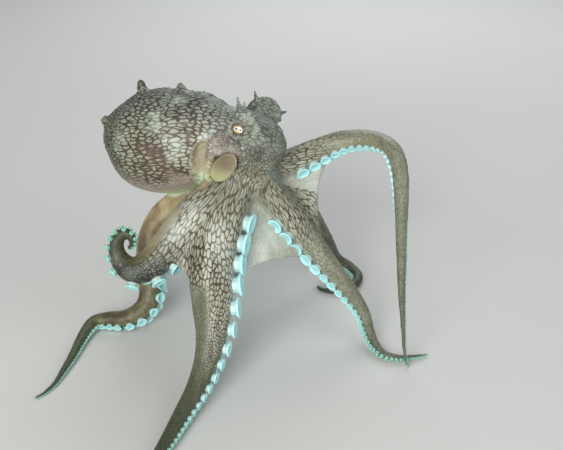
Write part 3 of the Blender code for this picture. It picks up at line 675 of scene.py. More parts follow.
def besideEye(name, right, up, near):
    centre = np.asarray(eyes[name]["centre"], float)
    return centre + np.array((right, 0.0, 0.0)) + pictureUp * up + pictureBack * near


# Ridges of skin beside the eyes and the funnel, as rows of a place and a radius.
ridges = dict(
    brow=[
        (*besideEye("right", -3.0, 6.6, 4.2), 1.0), (*besideEye("right", 0.5, 7.2, 4.4), 1.7),
        (*besideEye("right", 4.2, 6.2, 4.6), 2.1), (*besideEye("right", 7.0, 3.6, 4.0), 2.1),
        (*besideEye("right", 8.4, -0.2, 3.0), 1.8), (*besideEye("right", 8.6, -4.6, 2.0), 1.0),
    ],
    underEye=[
        (*besideEye("right", -6.0, -1.5, 3.6), 0.9), (*besideEye("right", -3.6, -4.6, 4.8), 1.3),
        (*besideEye("right", 0.4, -5.8, 5.0), 1.4), (*besideEye("right", 3.6, -4.4, 4.6), 0.9),
    ],
    farCrest=[
        (*besideEye("left", -9.4, -3.0, 2.5), 1.0), (*besideEye("left", -8.6, 2.4, 3.0), 1.7),
        (*besideEye("left", -5.2, 6.4, 3.4), 2.0), (*besideEye("left", 0.0, 7.9, 3.2), 2.0),
        (*besideEye("left", 4.6, 5.8, 3.2), 1.9), (*besideEye("left", 7.6, 1.6, 3.0), 1.7),
        (*besideEye("left", 8.2, -4.2, 2.4), 1.0),
    ],
    # Above the funnel.
    collar=[
        (-19.2, -10.0, 107.2, 2.8), (-15.8, -10.0, 108.0, 3.0), (-12.0, -8.9, 108.5, 2.7),
        (-8.2, -7.6, 107.2, 2.3), (-5.3, -6.8, 104.4, 1.8), (-4.2, -6.6, 101.0, 1.2),
    ],
)
# The fold of skin between the mantle opening and the funnel, broad above and narrow below.
fold = [
    (-12.6, -3.8, 113.6, 3.3), (-17.4, -7.4, 112.2, 3.1), (-19.8, -9.6, 108.4, 2.7),
    (-20.7, -10.6, 104.0, 2.5), (-21.4, -10.7, 99.2, 2.4), (-22.4, -9.8, 94.3, 2.1),
    (-23.6, -7.8, 89.8, 1.5),
]

skinShape = dict(voxel=0.98, smooth=0.5, rounds=3)


def cutterObject(mesh):
    made = objectFrom(mesh.name, mesh)
    made.hide_render = True
    return made


# The slot of the eye is tilted, and its lids with it.
eyeShape = dict(radius=5.6, segments=40, tilt=12.0, lidRadius=3.3, lidThick=0.58, lidHeight=0.76,
                lidRise=4.95, lidWave=0.12)


def eyeFrame(eye):
    side, over, look = frameOf(eye["look"])
    lean = math.radians(eyeShape["tilt"])
    return math.cos(lean) * side - math.sin(lean) * over, math.cos(lean) * over + math.sin(lean) * side, look


# The hole in the skin for the lids, by its distance from the eye's middle and its half width there.
def lidCutter(eye):
    side, over, look = eyeFrame(eye)
    centre = np.asarray(eye["centre"], float)
    near, far = head["lidNear"], head["lidFar"]
    matrices = [axesMatrix(centre + look * depth, side, over, look, width, width * eyeShape["lidHeight"])
                for depth, width in ((2.0, near), (4.6, near * 1.02), (8.0, near * 1.35), (14.0, far * 1.2))]
    bm = bmesh.new()
    loft(bm, matrices, 28)
    return meshFrom("lidCut", bm)


def largestPart(bm):
    left, groups = set(bm.verts), []
    while left:
        stack = [left.pop()]
        group = set(stack)
        while stack:
            for edge in stack.pop().link_edges:
                for vert in edge.verts:
                    if vert in left:
                        left.discard(vert)
                        group.add(vert)
                        stack.append(vert)
        groups.append(group)
    groups.sort(key=len)
    for group in groups[:-1]:
        bmesh.ops.delete(bm, geom=list(group), context="VERTS")
    return len(groups)


def makeSkin():
    forms = [armMesh(name) for name in armOrder]
    for index, name in enumerate(armOrder):
        forms.append(webMesh(name, armOrder[(index + 1) % len(armOrder)]))
    forms.append(sacMesh("mantle", mantle["rows"]))
    forms.append(sacMesh("head", head["rows"]))
    forms.append(ballMesh("hub", crown["centre"], crown["radii"]))
    for eye in eyes.values():
        look = unit(eye["look"])
        forms.append(ballMesh("bulge", np.array(eye["centre"]) - look, [head["bulge"]] * 3, look))
    forms += [tubeMesh(name, rows) for name, rows in ridges.items()]
    forms += [tubeMesh("horn", hornRows(*horn)) for horn in horns]
    bm = bmesh.new()
    for form in forms:
        bm.from_mesh(form)
        bpy.data.meshes.remove(form)
    skin = objectFrom("skin", meshFrom("skin", bm))

    opening = mantle["opening"]
    cuts = [lidCutter(eye) for eye in eyes.values()]
    cuts.append(ballMesh("mantleCut", opening["centre"], opening["radii"], opening["facing"], (1, 0, 0)))
    # The fold is joined after the cuts, so that it closes one side of the opening.
    others = [cutterObject(mesh) for mesh in cuts + [tubeMesh("foldBody", fold)]]
    remesh = ("REMESH", dict(mode="VOXEL", voxel_size=skinShape["voxel"]))
    steps = [remesh]
    for other in others:
        operation = "UNION" if other is others[-1] else "DIFFERENCE"
        steps.append(("BOOLEAN", dict(object=other, operation=operation, solver="MANIFOLD")))
    steps += [remesh, ("SMOOTH", dict(factor=skinShape["smooth"], iterations=skinShape["rounds"]))]
    for kind, settings in steps:
        step = skin.modifiers.new(kind.lower(), kind)
        for key, value in settings.items():
            setattr(step, key, value)
    graph = bpy.context.evaluated_depsgraph_get()
    built = bpy.data.meshes.new_from_object(skin.evaluated_get(graph))
    skin.modifiers.clear()
    skin.data = built
    for other in others:
        bpy.data.objects.remove(other, do_unlink=True)
    bm = bmesh.new()
    bm.from_mesh(skin.data)
    parts = largestPart(bm)
    bm.to_mesh(skin.data)
    bm.free()
    print("skin joined:", len(skin.data.polygons), "faces from", parts, "surfaces")
    return skin


# The nearest sample of a centre line to each point, less the thickness there where it is given.
def nearestSample(coords, line, thick=None):
    best = np.zeros(len(coords), int)
    for start in range(0, len(coords), 8192):
        part = coords[start:start + 8192]
        gaps = (part ** 2).sum(1)[:, None] - 2 * part @ line.T + (line ** 2).sum(1)[None, :]
        if thick is not None:
            gaps = np.sqrt(np.maximum(gaps, 0.0)) - thick[None, :]
        best[start:start + 8192] = gaps.argmin(1)
    return best


# Where each point of the skin lies beside one arm.
def nearestOn(coords, limb):
    samples = np.arange(0.0, limb["total"] + 0.5, 1.0)
    pick = lambda key: np.stack([np.interp(samples, limb["length"], limb[key][:, k]) for k in range(3)], 1)
    place, ahead, down, side = pick("place"), pick("ahead"), pick("down"), pick("side")
    radius = np.interp(samples, limb["length"], limb["radius"])
    best = nearestSample(coords, place, radius)
    offset = coords - place[best]
    return dict(
        s=samples[best] + (offset * ahead[best]).sum(1),
        lateral=(offset * side[best]).sum(1), depth=(offset * down[best]).sum(1),
        distance=np.linalg.norm(offset, axis=1), radius=radius[best],
    )


# Width of the cells in millimetres and how far they are drawn out, by the length along an arm and for
# the mantle and head. Their chart starts from the line that faces the camera, turned so far, and
# another takes over behind, between two angles.
flow = dict(
    at=(0, 18, 34, 50, 64, 80, 100, 140), widths=(1.3, 1.6, 1.8, 2.1, 1.8, 1.25, 0.95, 0.7),
    stretches=(6.0, 4.6, 3.0, 1.9, 1.7, 1.5, 1.3, 1.2), slim=0.85, broadArms=("arm_r2", "arm_r3"),
    bodyRadius=26.0, bodyWidth=1.95, bodyStretch=2.2, turn=math.radians(25), backFrom=1.85, backTo=2.15,
)


def armFlow(name, found):
    limb = limbs[name]
    samples = np.arange(0.0, limb["total"] + 1.0, 1.0)
    width = np.interp(samples, flow["at"], flow["widths"])
    if name not in flow["broadArms"]:
        width *= flow["slim"]
    stretch = np.interp(samples, flow["at"], flow["stretches"])
    covered = runningSum(1.0 / (width * stretch))[:-1]
    s = np.clip(found["s"], 0, limb["total"])
    turn = np.arctan2(found["lateral"], -found["depth"])
    around = turn * found["radius"] + np.sign(turn) * np.maximum(found["distance"] - found["radius"], 0)
    travelled = np.interp(s, samples, covered) + (found["s"] - s) / 3.0
    return np.stack([travelled, around / np.interp(s, samples, width), np.zeros(len(s))], 1)


bodyRows = mantle["rows"][:-2] + [(-12, 8, 107, 16.5, 18.5)] + head["rows"][5:-1]


def bodyFlow(coords):
    fine = smoothRows(bodyRows, 10)
    line, wide, high = fine[:, :3], fine[:, 3], fine[:, 4]
    ahead = unitRows(np.gradient(line, axis=0))
    side = unitRows(np.cross((0, 0, 1), ahead))
    best = nearestSample(coords, line)
    offset = coords - line[best]
    along, across = (offset * ahead[best]).sum(1), (offset * side[best]).sum(1)
    up = (offset * np.cross(ahead, side)[best]).sum(1)
    width, height = np.maximum(wide, 4.0)[best], np.maximum(high, 4.0)[best]
    field = np.sqrt((across / width) ** 2 + (up / height) ** 2)
    steps = np.linalg.norm(np.diff(line, axis=0), axis=1)
    cellLength = flow["bodyWidth"] * flow["bodyStretch"] * np.maximum(high, 11.0) / flow["bodyRadius"]
    covered = runningSum(np.sqrt(steps ** 2 + np.diff(high) ** 2) / cellLength[:-1])
    travelled = covered[best] + along / cellLength[best]
    girth = np.maximum((wide + high) / 2, 12.0)[best] / flow["bodyWidth"]
    beyond = np.maximum(field - 1.0, 0.0) * (width + height) / 2 / flow["bodyWidth"]
    front = np.mod(np.arctan2(up / height, -across / width) - flow["turn"] + np.pi, math.tau) - np.pi
    back = np.mod(front, math.tau) - np.pi
    chart = lambda turn: np.stack([travelled, turn * girth + np.sign(turn) * beyond, np.zeros(len(turn))], 1)
    return SimpleNamespace(
        front=chart(front), back=chart(back), turn=np.abs(front), field=field, up=up / height,
        solid=np.stack([travelled, across / flow["bodyWidth"], up / flow["bodyWidth"]], 1),
        place=runningSum(steps)[best] + along,
    )


# A point of the skin seen at a place in the 563 by 450 picture.
def makeSeer(mesh):
    tree = BVHTree.FromPolygons([v.co for v in mesh.vertices], [p.vertices for p in mesh.polygons])
    eye = Vector(view["place"])

    def seen(px, py):
        ray = np.array((1.0, 0, 0)) * (px - view["width"] / 2) / view["focal"]
        ray = ray + pictureUp * (view["height"] / 2 - py) / view["focal"] - pictureBack
        hit = tree.ray_cast(eye, Vector(unit(ray)))
        return None if hit[0] is None else np.array(hit[0])

    return seen


# Spots of each mask in the picture: x and y in its pixels, radius in millimetres, strength.
spots = dict(
    rust=[
        (155, 160, 11, 1.0), (148, 152, 7, 0.9), (166, 168, 9, 0.95), (158, 172, 10, 0.9),
        (141, 147, 6, 0.8), (188, 139, 5.5, 0.95), (184, 124, 4.5, 0.6), (147, 108, 6, 0.75),
        (141, 112, 5, 0.6), (122, 130, 4, 0.5), (199, 101, 3, 0.9), (176, 176, 9, 0.6),
        (140, 172, 8, 0.6), (212, 150, 7, 0.55), (226, 146, 6, 0.6), (237, 148, 5, 0.4),
        (260, 150, 3.5, 0.7), (126, 150, 4, 0.4), (214, 114, 4, 0.4),
    ],
    pale=[
        (155, 116, 4.5, 0.9), (155, 127, 5, 0.9), (180, 100, 4.5, 0.9), (171, 157, 5, 0.75),
        (176, 147, 6, 0.6), (120, 136, 6, 0.55), (116, 146, 5, 0.5), (165, 188, 7, 0.5),
        (205, 139, 5, 0.9), (210, 134, 5, 0.5), (245, 118, 3.5, 0.7), (252, 121, 3.5, 0.8),
        (256, 129, 3.5, 0.75), (242, 142, 1.8, 0.9), (243, 148, 1.6, 0.9), (244, 155, 1.6, 0.8),
        (245, 162, 1.6, 0.7), (201, 141, 3.5, 0.9), (184, 122, 4, 0.5), (164, 139, 5, 0.5),
        (258, 111, 3, 0.6), (276, 117, 3.5, 0.6), (168, 222, 9, 0.75), (176, 232, 8, 0.8),
        (163, 236, 7, 0.6), (188, 222, 7, 0.5), (215, 232, 9, 0.5), (222, 250, 9, 0.5),
        (228, 270, 8, 0.4), (192, 208, 8, 0.45), (101, 116, 2.6, 1.0), (116, 174, 1.8, 1.0),
        (151, 185, 1.6, 1.0), (168, 185, 1.8, 1.0), (133, 182, 1.5, 1.0), (104, 118, 3.5, 0.8),
        (141, 93, 3.0, 0.6), (160, 186, 4.5, 0.5), (174, 184, 5.5, 0.7), (186, 181, 5, 0.7),
    ],
    mint=[
        (197, 178, 3, 0.6), (203, 177, 4.0, 0.85), (208, 177, 3.6, 0.8), (199, 182, 2.8, 0.8),
        (192, 172, 2, 0.5), (191, 164, 1.7, 0.4),
    ],
    rustTip=[(142, 82, 4, 1.0), (187, 87, 4, 0.9)],
    rosy=[(214, 147, 4.5, 0.9), (222, 145, 4, 0.8), (231, 147, 3.5, 0.7), (238, 153, 3, 0.6)],
)


def spotMask(coords, seen, rows):
    made = np.zeros(len(coords))
    for px, py, radius, strength in rows:
        centre = seen(px, py)
        if centre is None:
            continue
        gap = np.linalg.norm(coords - centre, axis=1)
        made = np.maximum(made, strength * ramp(-gap, -radius, -radius * 0.35))
    return made


# How near each point lies to a ridge, full within the first share of its radius and nothing from the last.
def alongRows(coords, rows, first, last):
    fine = smoothRows(rows, 8)
    gaps = np.linalg.norm(coords[:, None, :] - fine[None, :, :3], axis=2) / fine[None, :, 3]
    return fall(gaps.min(1), first, last)


# How the cells of one part give way to those of the next, and how far that line wanders, then the
# waves of noise that streaks and patches follow.
joins = dict(waves=0.16, wander=3.0, arms=(-1.6, 1.6), body=(-0.12, 0.22), bodyWander=0.05, backWander=0.03)
noisy = dict(patches=0.09, armStreaks=(0.16, 0.42, 0.42), bodyStreaks=(0.20, 0.26, 0.26), bodyPaler=0.12,
             streakBand=(-0.28, 0.30), blotches=0.33, blotchBand=(-0.50, 0.10), outerBlotches=0.17,
             foldStreaks=(0.75, 0.2, 0.07), foldBand=(-0.05, 0.25))


def noiseAt(points, scale):
    return np.array([noise.noise(Vector(point)) for point in np.asarray(points) * scale])


# Streaks that run along a ridge.
def streaksAlong(coords, rows):
    fine = smoothRows(rows, 8)
    nearest = np.linalg.norm(coords[:, None, :] - fine[None, :, :3], axis=2).argmin(1)
    offset = coords - fine[nearest, :3]
    return ramp(noiseAt(np.column_stack([offset[:, :2], nearest]), noisy["foldStreaks"]), *noisy["foldBand"])


# Where every point of the skin lies on the animal. What the cells are drawn with is kept on the mesh.
def placeSkin(mesh, coords):
    found = [nearestOn(coords, limbs[name]) for name in armOrder]
    pile = {key: np.stack([one[key] for one in found]) for key in found[0]}
    each = np.arange(len(coords))
    reach = pile["distance"] - pile["radius"]
    wander = noiseAt(coords, joins["waves"]) * joins["wander"]
    charts, gaps = [], []
    for first, label in enumerate(("flowEven", "flowOdd")):
        vectors = [armFlow(name, one) for name, one in zip(armOrder[first::2], found[first::2])]
        charts.append(np.stack(vectors)[reach[first::2].argmin(0), each])
        gaps.append(reach[first::2].min(0))
        keepVector(mesh, label, charts[-1])
    # The change from one arm's cells to the next wanders, so that it reads as a natural one.
    oddShare = ramp(gaps[0] - gaps[1] + wander, *joins["arms"])
    body = bodyFlow(coords)
    armField = (pile["distance"] / pile["radius"]).min(0)
    bodyShare = ramp(armField - body.field + wander * joins["bodyWander"], *joins["body"])
    backShare = ramp(body.turn + wander * joins["backWander"], flow["backFrom"], flow["backTo"])
    keepVector(mesh, "flowBody", body.front)
    keepVector(mesh, "flowBack", body.back)
    for label, values in zip(shareNames, (oddShare, bodyShare, backShare)):
        keepMask(mesh, label, values)

    nearest = reach.argmin(0)
    s, radius, depth, lateral = (pile[key][nearest, each] for key in ("s", "radius", "depth", "lateral"))
    totals = np.array([limbs[name]["total"] for name in armOrder])
    return SimpleNamespace(
        coords=coords, names=np.array(armOrder)[nearest], onArm=1 - bodyShare, onBody=bodyShare,
        s=s, part=s / totals[nearest], dorsal=-depth / radius, sideways=lateral / radius,
        up=body.up, along=body.place, bodyFlow=body.solid, patchy=noiseAt(coords, noisy["patches"]),
        armFlow=charts[0] * (1 - oddShare)[:, None] + charts[1] * oddShare[:, None],
    )


# Raises a mask to at least these values.
def lay(masks, name, values):
    masks[name] = np.maximum(masks[name], values)


# Takes a share of a mask away.
def fade(masks, name, share):
    masks[name] = masks[name] * (1 - share)


# Where a marking of an arm starts and where it is full, in millimetres from the arm's root.
armBands = dict(
    browner=(14, 34), oliveRoot=(12, 36), stripR2=(56, 72), stripR3=(24, 38), stripEndR3=(70, 86),
    peppered=(50, 60), pepperedEnd=(84, 98), oliveR3=(82, 96), tanEndR3=(80, 94), ochreR4=(84, 104),
    outerR4=(84, 96), oliveBars=(24, 44), barLines=(30, 60), tanL1=(40, 60), duskR3=(60, 90), duskR4=(68, 88),
)
# The same as shares of the arm's length.
partBands = dict(
    oliveTip=(0.50, 0.80), thinLines=(0.55, 0.85), greyTip=(0.62, 0.98), paleOral=(0.50, 0.80),
    outerR4=(0.62, 0.80), mintR4=(0.66, 0.85), oliveBars=(0.40, 0.80), tanL1=(0.60, 0.85),
    dusk=(0.20, 0.66), duskR2=(0.36, 0.60),
)


def paintArms(masks, here):
    onArm, s, part, dorsal, patchy = here.onArm, here.s, here.part, here.dorsal, here.patchy
    only = lambda *names: np.isin(here.names, names) * onArm
    after = lambda name, wave=0.0: ramp(s + wave, *armBands[name])
    before = lambda name, wave=0.0: fall(s + wave, *armBands[name])
    partAfter = lambda name, wave=0.0: ramp(part + wave, *partBands[name])
    partBefore = lambda name: fall(part, *partBands[name])
    r2, r3, r4 = only("arm_r2"), only("arm_r3"), only("arm_r4")
    bars, hidden = only("arm_l1", "arm_r1"), only("arm_l2", "arm_l3", "arm_l4")

    # Pale and plain beneath, olive at the root and outwards, grey at the tip.
    oral = fall(dorsal, -0.75, -0.25)
    fade(masks, "lineStrength", 0.85 * oral * onArm)
    lay(masks, "pale", 0.55 * oral * onArm * partBefore("paleOral"))
    lay(masks, "olive", 0.9 * onArm * partAfter("oliveTip", patchy * 0.1))
    lay(masks, "olive", 0.3 * onArm * before("oliveRoot"))
    fade(masks, "lineStrength", 0.6 * onArm * partAfter("thinLines"))
    lay(masks, "grey", 0.9 * onArm * partAfter("greyTip"))
    # r2: an olive strip on its back.
    stripR2 = r2 * ramp(dorsal, 0.45, 0.85) * after("stripR2")
    lay(masks, "olive", 0.72 * stripR2)
    fade(masks, "lineStrength", 0.75 * stripR2)
    # r3: a tan strip on its back, then dark skin peppered with white as far as the curl.
    stripR3 = r3 * ramp(dorsal - 0.15 * here.sideways, 0.55, 0.88) * after("stripR3") * before("stripEndR3")
    lay(masks, "tan", stripR3)
    lay(masks, "speckle", 0.95 * r3 * after("peppered", patchy * 8) * before("pepperedEnd")
        * fall(dorsal - patchy * 0.4, 0.3, 0.62))
    lay(masks, "olive", 0.65 * r3 * after("oliveR3"))
    lay(masks, "tan", 0.5 * r3 * after("tanEndR3"))
    # r4: smooth ochre, then brown blotches, then a greenish tip.
    upper = r4 * before("ochreR4", patchy * -10)
    lay(masks, "tan", upper)
    outer = r4 * after("outerR4") * partBefore("outerR4")
    blotchy = noiseAt(here.coords, noisy["outerBlotches"])
    lay(masks, "tan", 0.9 * outer)
    lay(masks, "rust", outer * ramp(blotchy, -0.05, 0.22))
    lay(masks, "olive", 0.3 * outer * fall(blotchy, -0.12, 0.12))
    lay(masks, "mint", 0.08 * r4 * partAfter("mintR4"))
    # l1 and r1 are plainer, and olive like the arms behind.
    lay(masks, "olive", (bars + 0.5 * hidden) * (0.5 + 0.3 * partAfter("oliveBars")) * after("oliveBars"))
    fade(masks, "lineStrength", 0.45 * bars * after("barLines"))
    lay(masks, "tan", 0.6 * only("arm_l1") * fall(dorsal - patchy * 0.3, -0.05, 0.45) * after("tanL1")
        * partBefore("tanL1"))
    # Shade on the outer lengths.
    outward = partAfter("dusk") * (1 - r2) + partAfter("duskR2") * r2
    lay(masks, "dim", outward * onArm * (0.95 - 0.75 * (bars > 0.5)))
    lay(masks, "dim", 0.60 * stripR2)
    lay(masks, "dim", 0.85 * r4 * after("duskR4"))
    lay(masks, "dim", 0.45 * r3 * after("duskR3"))
    fade(masks, "lineStrength", 0.9 * upper)
    fade(masks, "lineStrength", 0.95 * masks["tan"])


# Bands of the body, in millimetres from the mantle's tip, and by height as a share of the half height.
bodyBands = dict(mantle=(58, 66), side=(40, 56), rear=(8, 26), greyRear=(6, 22), greyHead=(60, 74),
                 neck=(62, 74), crest=(76, 84), headLines=(66, 80))
heightBands = dict(greyTop=(0.45, 0.95), duskTop=(0.55, 0.95), duskLow=(-0.75, -0.45), rosy=(-0.60, -0.34),
                   paleLitBand=(-0.80, -0.62), mint=(-0.87, -0.80))


# Mantle and head: greyer and finer above, rosy with white specks below, a pale band, partly painted light on
# the shaded underside, and a mint rim lowest.
def paintBody(masks, here, blotched):
    onBody, patchy = here.onBody, here.patchy
    after = lambda name: ramp(here.along, *bodyBands[name])
    before = lambda name: fall(here.along, *bodyBands[name])
    above = lambda name, wave=0.0: ramp(here.up + wave, *heightBands[name])
    below = lambda name, wave=0.0: fall(here.up - wave, *heightBands[name])
    onMantle = onBody * before("mantle")
    rosy = onMantle * below("rosy", patchy * 0.25)
    rim = onMantle * below("mint", patchy * 0.05)
    paleLitBand = onMantle * below("paleLitBand", patchy * 0.05)
    lay(masks, "grey", 0.7 * onBody * above("greyTop", patchy * 0.2))
    lay(masks, "grey", 0.62 * onBody * after("greyHead"))
    lay(masks, "grey", 0.6 * onMantle * before("greyRear"))
    lay(masks, "rust", 0.85 * rosy)
    lay(masks, "speckle", 0.72 * rosy)
    lay(masks, "mint", 0.85 * rim)
    lay(masks, "dim", onBody * (0.30 * after("neck") + 0.25 * after("crest")))
    lay(masks, "dim", 0.45 * onBody * above("duskTop"))
    rear = 0.30 + 0.20 * before("side") * (1 - blotched) + 0.35 * before("rear")
    lay(masks, "dim", onMantle * rear * above("duskLow"))
    # Partly painted light: the pale band lightens the downward-facing mantle, which lies in shade.
    lay(masks, "pale", 0.8 * paleLitBand)
    lay(masks, "tan", 0.8 * paleLitBand)
    for name, share in (("lineStrength", 0.6), ("speckle", 0.9), ("rust", 0.8)):
        fade(masks, name, share * paleLitBand)
    fade(masks, "lineStrength", 0.8 * rim)
    fade(masks, "lineStrength", 0.25 * onBody * after("headLines"))


# The fold beside the funnel is rosy and peppered above, smooth and streaked below, and the brows are pale.
def paintFolds(masks, here, rosySpots):
    coords = here.coords
    onFold = np.maximum(alongRows(coords, fold, 0.85, 1.3) * ramp(coords[:, 2], 88, 93), rosySpots)
    onFold = np.maximum(onFold, 0.9 * alongRows(coords, ridges["collar"], 0.9, 1.4))
    beaded = onFold * np.maximum(ramp(coords[:, 2], 103, 109), ramp(coords[:, 0], -17, -15))
    smooth = onFold - beaded
    lay(masks, "rust", 0.6 * beaded)
    lay(masks, "speckle", 0.75 * beaded)
    lay(masks, "tan", 0.85 * smooth)
    streaked = np.zeros(len(coords))
    if smooth.any():
        streaked[smooth > 0] = streaksAlong(coords[smooth > 0], fold) * smooth[smooth > 0]
    lay(masks, "pale", 0.9 * streaked)
    fade(masks, "rust", 0.8 * streaked)
    fade(masks, "dim", onFold)
    lay(masks, "pale", 0.75 * alongRows(coords, ridges["brow"], 0.7, 1.2))
    lay(masks, "pale", 0.5 * alongRows(coords, ridges["underEye"], 0.6, 1.1))
    lay(masks, "pale", 0.65 * alongRows(coords, ridges["farCrest"], 0.5, 1.1) * ramp(here.patchy, -0.25, 0.1))
    return onFold


# Inside the mantle opening the flesh is smooth and tan, and paler to the left, where painted light lightens
# the shade inside the cavity.
def paintOpening(masks, here, onFold):
    opening = mantle["opening"]
    side, over, forward = frameOf(opening["facing"], (1, 0, 0))
    offset = here.coords - np.asarray(opening["centre"])
    parts = [offset @ axis / radius for axis, radius in zip((forward, side, over), opening["radii"])]
    inner = fall(np.linalg.norm(parts, axis=0), 0.98, 1.12) * (1 - onFold)
    lay(masks, "tan", inner)
    # Painted light: paler to the left, lightening the shaded inside of the opening.
    lay(masks, "pale", 0.8 * inner * ramp(here.coords[:, 2] * 0.4 - here.coords[:, 0], 60, 68))
    for name, share in (("lineStrength", 1.0), ("rust", 0.8), ("speckle", 1.0)):
        fade(masks, name, share * inner)


def paintSkin(mesh, seen, palerTips=0.0):
    coords = coordsOf(mesh)
    here = placeSkin(mesh, coords)
    spotted = {name: spotMask(coords, seen, rows) for name, rows in spots.items()}
    masks = {name: np.zeros(len(coords)) for name in maskNames}
    masks["lineStrength"] += 1.0
    # Streaks of paler and of browner cells run the way the cells do.
    armStreak = noiseAt(here.armFlow, noisy["armStreaks"]) * here.onArm
    bodyStreak = (noiseAt(here.bodyFlow, noisy["bodyStreaks"]) + noisy["bodyPaler"]) * here.onBody
    masks["streak"] = ramp(armStreak + bodyStreak, *noisy["streakBand"])
    fade(masks, "streak", 0.5 * here.onArm * fall(here.s, *armBands["browner"]))
    paintArms(masks, here)
    paintBody(masks, here, spotted["rust"])
    onFold = paintFolds(masks, here, spotted["rosy"])
    lay(masks, "rust", spotted["rust"] * ramp(noiseAt(coords, noisy["blotches"]), *noisy["blotchBand"]))
    lay(masks, "rust", spotted["rustTip"])
    lay(masks, "pale", spotted["pale"])
    fade(masks, "lineStrength", 0.5 * spotted["pale"])
    lay(masks, "mint", spotted["mint"])
    paintOpening(masks, here, onFold)
    lay(masks, "pale", palerTips)
    for name, values in masks.items():
        keepMask(mesh, name, np.clip(values, 0, 1))


# Real relief: slow lumps everywhere, and warts on the mantle, the head and the backs of the arms. It
# rises with the height above the floor, and there is none where the animal stands.
relief = dict(lump=0.35, lumpSize=9.0, wart=0.34, wartSize=2.6, wartReach=0.45, least=0.35, smoothBelow=3.0,
              fullAbove=12.0, lowest=60, highest=100)


def reliefOf(mesh):
    coords = coordsOf(mesh)
    up = ramp(coords[:, 2], relief["lowest"], relief["highest"])
    lift = np.zeros(len(coords))
    for index, place in enumerate(coords):
        if place[2] < relief["smoothBelow"]:
            continue
        lump = noise.noise(Vector(place) / relief["lumpSize"]) * relief["lump"]
        near = noise.voronoi(Vector(place) / relief["wartSize"])[0][0]
        wart = relief["wart"] * max(0.0, relief["wartReach"] - near) / relief["wartReach"]
        lift[index] = lump * up[index] + wart * (relief["least"] + (1 - relief["least"]) * up[index])
    lift *= ramp(coords[:, 2], relief["smoothBelow"], relief["fullAbove"])
    coords = coords + vectorsOf(mesh, "normal") * lift[:, None]
    coords[:, 2] = np.maximum(coords[:, 2], 0.0)
    setCoords(mesh, coords)


skinMaterial = makeSkinMaterial()
skin = makeSkin()
reliefOf(skin.data)
seen = makeSeer(skin.data)
paintSkin(skin.data, seen)
fleshNodes = ["mantle", "head", "crown"]
fleshNodes += [f"{name}_{part}" for name in armOrder for part in ("upper", "middle", "tip")]
skinCoords, skinNormals = coordsOf(skin.data), vectorsOf(skin.data, "normal")
settle(skin, skinMaterial, fleshNodes)
print("skin painted:", len(skin.data.vertices), "points")


# Papillae: small warts and the slender tips of the horns. Three counts, then radii, and how much
# paler a wart and a tip are than the skin.
papillae = dict(mantle=210, head=130, arms=150, smallest=0.38, largest=0.78, sunk=0.25, tall=1.25,
                tipShare=0.8, tipLeast=0.12, palerWart=0.75, palerTip=0.35)


def makePapillae():
    body = bodyFlow(skinCoords)
    height = skinCoords[:, 2]
    high = (height > 92) & (body.field < 1.5)
    groups = [
        (papillae["mantle"], high & (body.place < 60) & (body.up > -0.1)),
        (papillae["head"], high & (body.place >= 60) & (body.up > -0.3)),
        (papillae["arms"], (height > 25) & (height < 92) & (skinNormals[:, 2] > 0.1)),
    ]
    bm = bmesh.new()
    for count, choice in groups:
        for index in rng.choice(np.flatnonzero(choice), count, replace=False):
            radius = papillae["smallest"] + (papillae["largest"] - papillae["smallest"]) * rng.random() ** 2
            side, over, facing = frameOf(skinNormals[index], (0.31, 0.2, 0.93))
            matrix = axesMatrix(skinCoords[index] - facing * radius * papillae["sunk"], side, over, facing,
                                radius, radius, radius * papillae["tall"])
            bmesh.ops.create_uvsphere(bm, u_segments=7, v_segments=4, radius=1.0, matrix=matrix)
    paler = [papillae["palerWart"]] * len(bm.verts)
    for root, tip, radius, outline in horns:
        if outline is slender:
            rows = hornRows(root, tip, radius * papillae["tipShare"], outline)
            loft(bm, ringsAlong(rows, 3, (0.3, 0.9, 0.1), papillae["tipLeast"]), 9)
    paler += [papillae["palerTip"]] * (len(bm.verts) - len(paler))
    made = objectFrom("papillae", meshFrom("papillae", bm))
    paintSkin(made.data, seen, np.array(paler))
    settle(made, skinMaterial)


makePapillae()
print("papillae set")


# Suckers: two rows on each arm, out to its tip. The angle, the first place and three radii are degrees
# and millimetres, and the rest are shares of the arm's radius or of the sucker's.
suckers = dict(share=0.385, rowAngle=math.radians(33.0), first=20.0, pitch=2.55, smallest=0.40, tiltOut=0.12,
               large=2.6, medium=1.3, broad=1.16, long=1.20, deep=0.88, least=(0.95, 0.96), uneven=0.10)
# Radius and height, from the middle of the bowl over the thick rim and a groove to the sunk root.
suckerProfiles = dict(
    large=[(0.0, 0.52), (0.40, 0.58), (0.72, 0.82), (0.96, 1.04), (1.06, 0.98), (1.03, 0.80), (0.80, 0.60),
           (0.74, 0.40), (0.80, 0.05), (0.72, -0.75)],
    medium=[(0.0, 0.54), (0.64, 0.80), (0.96, 1.04), (1.05, 0.92), (0.78, 0.58), (0.78, 0.20), (0.72, -0.75)],
    small=[(0.0, 0.60), (0.86, 1.02), (1.03, 0.88), (0.76, 0.45), (0.72, -0.75)],
)
suckerRounds = dict(large=12, medium=10, small=8)
shapes = {kind: turnedMesh("suckerShape", profile, suckerRounds[kind])
          for kind, profile in suckerProfiles.items()}


def suckerPlaces(limb):
    made, s, row = [], suckers["first"], 1
    while s < limb["total"] - 0.8:
        radius = max(suckers["share"] * limbAt(limb, s)[4], suckers["smallest"])
        made.append((s, row, radius))
        s += radius * suckers["pitch"] * 0.5
        row = -row
    return made


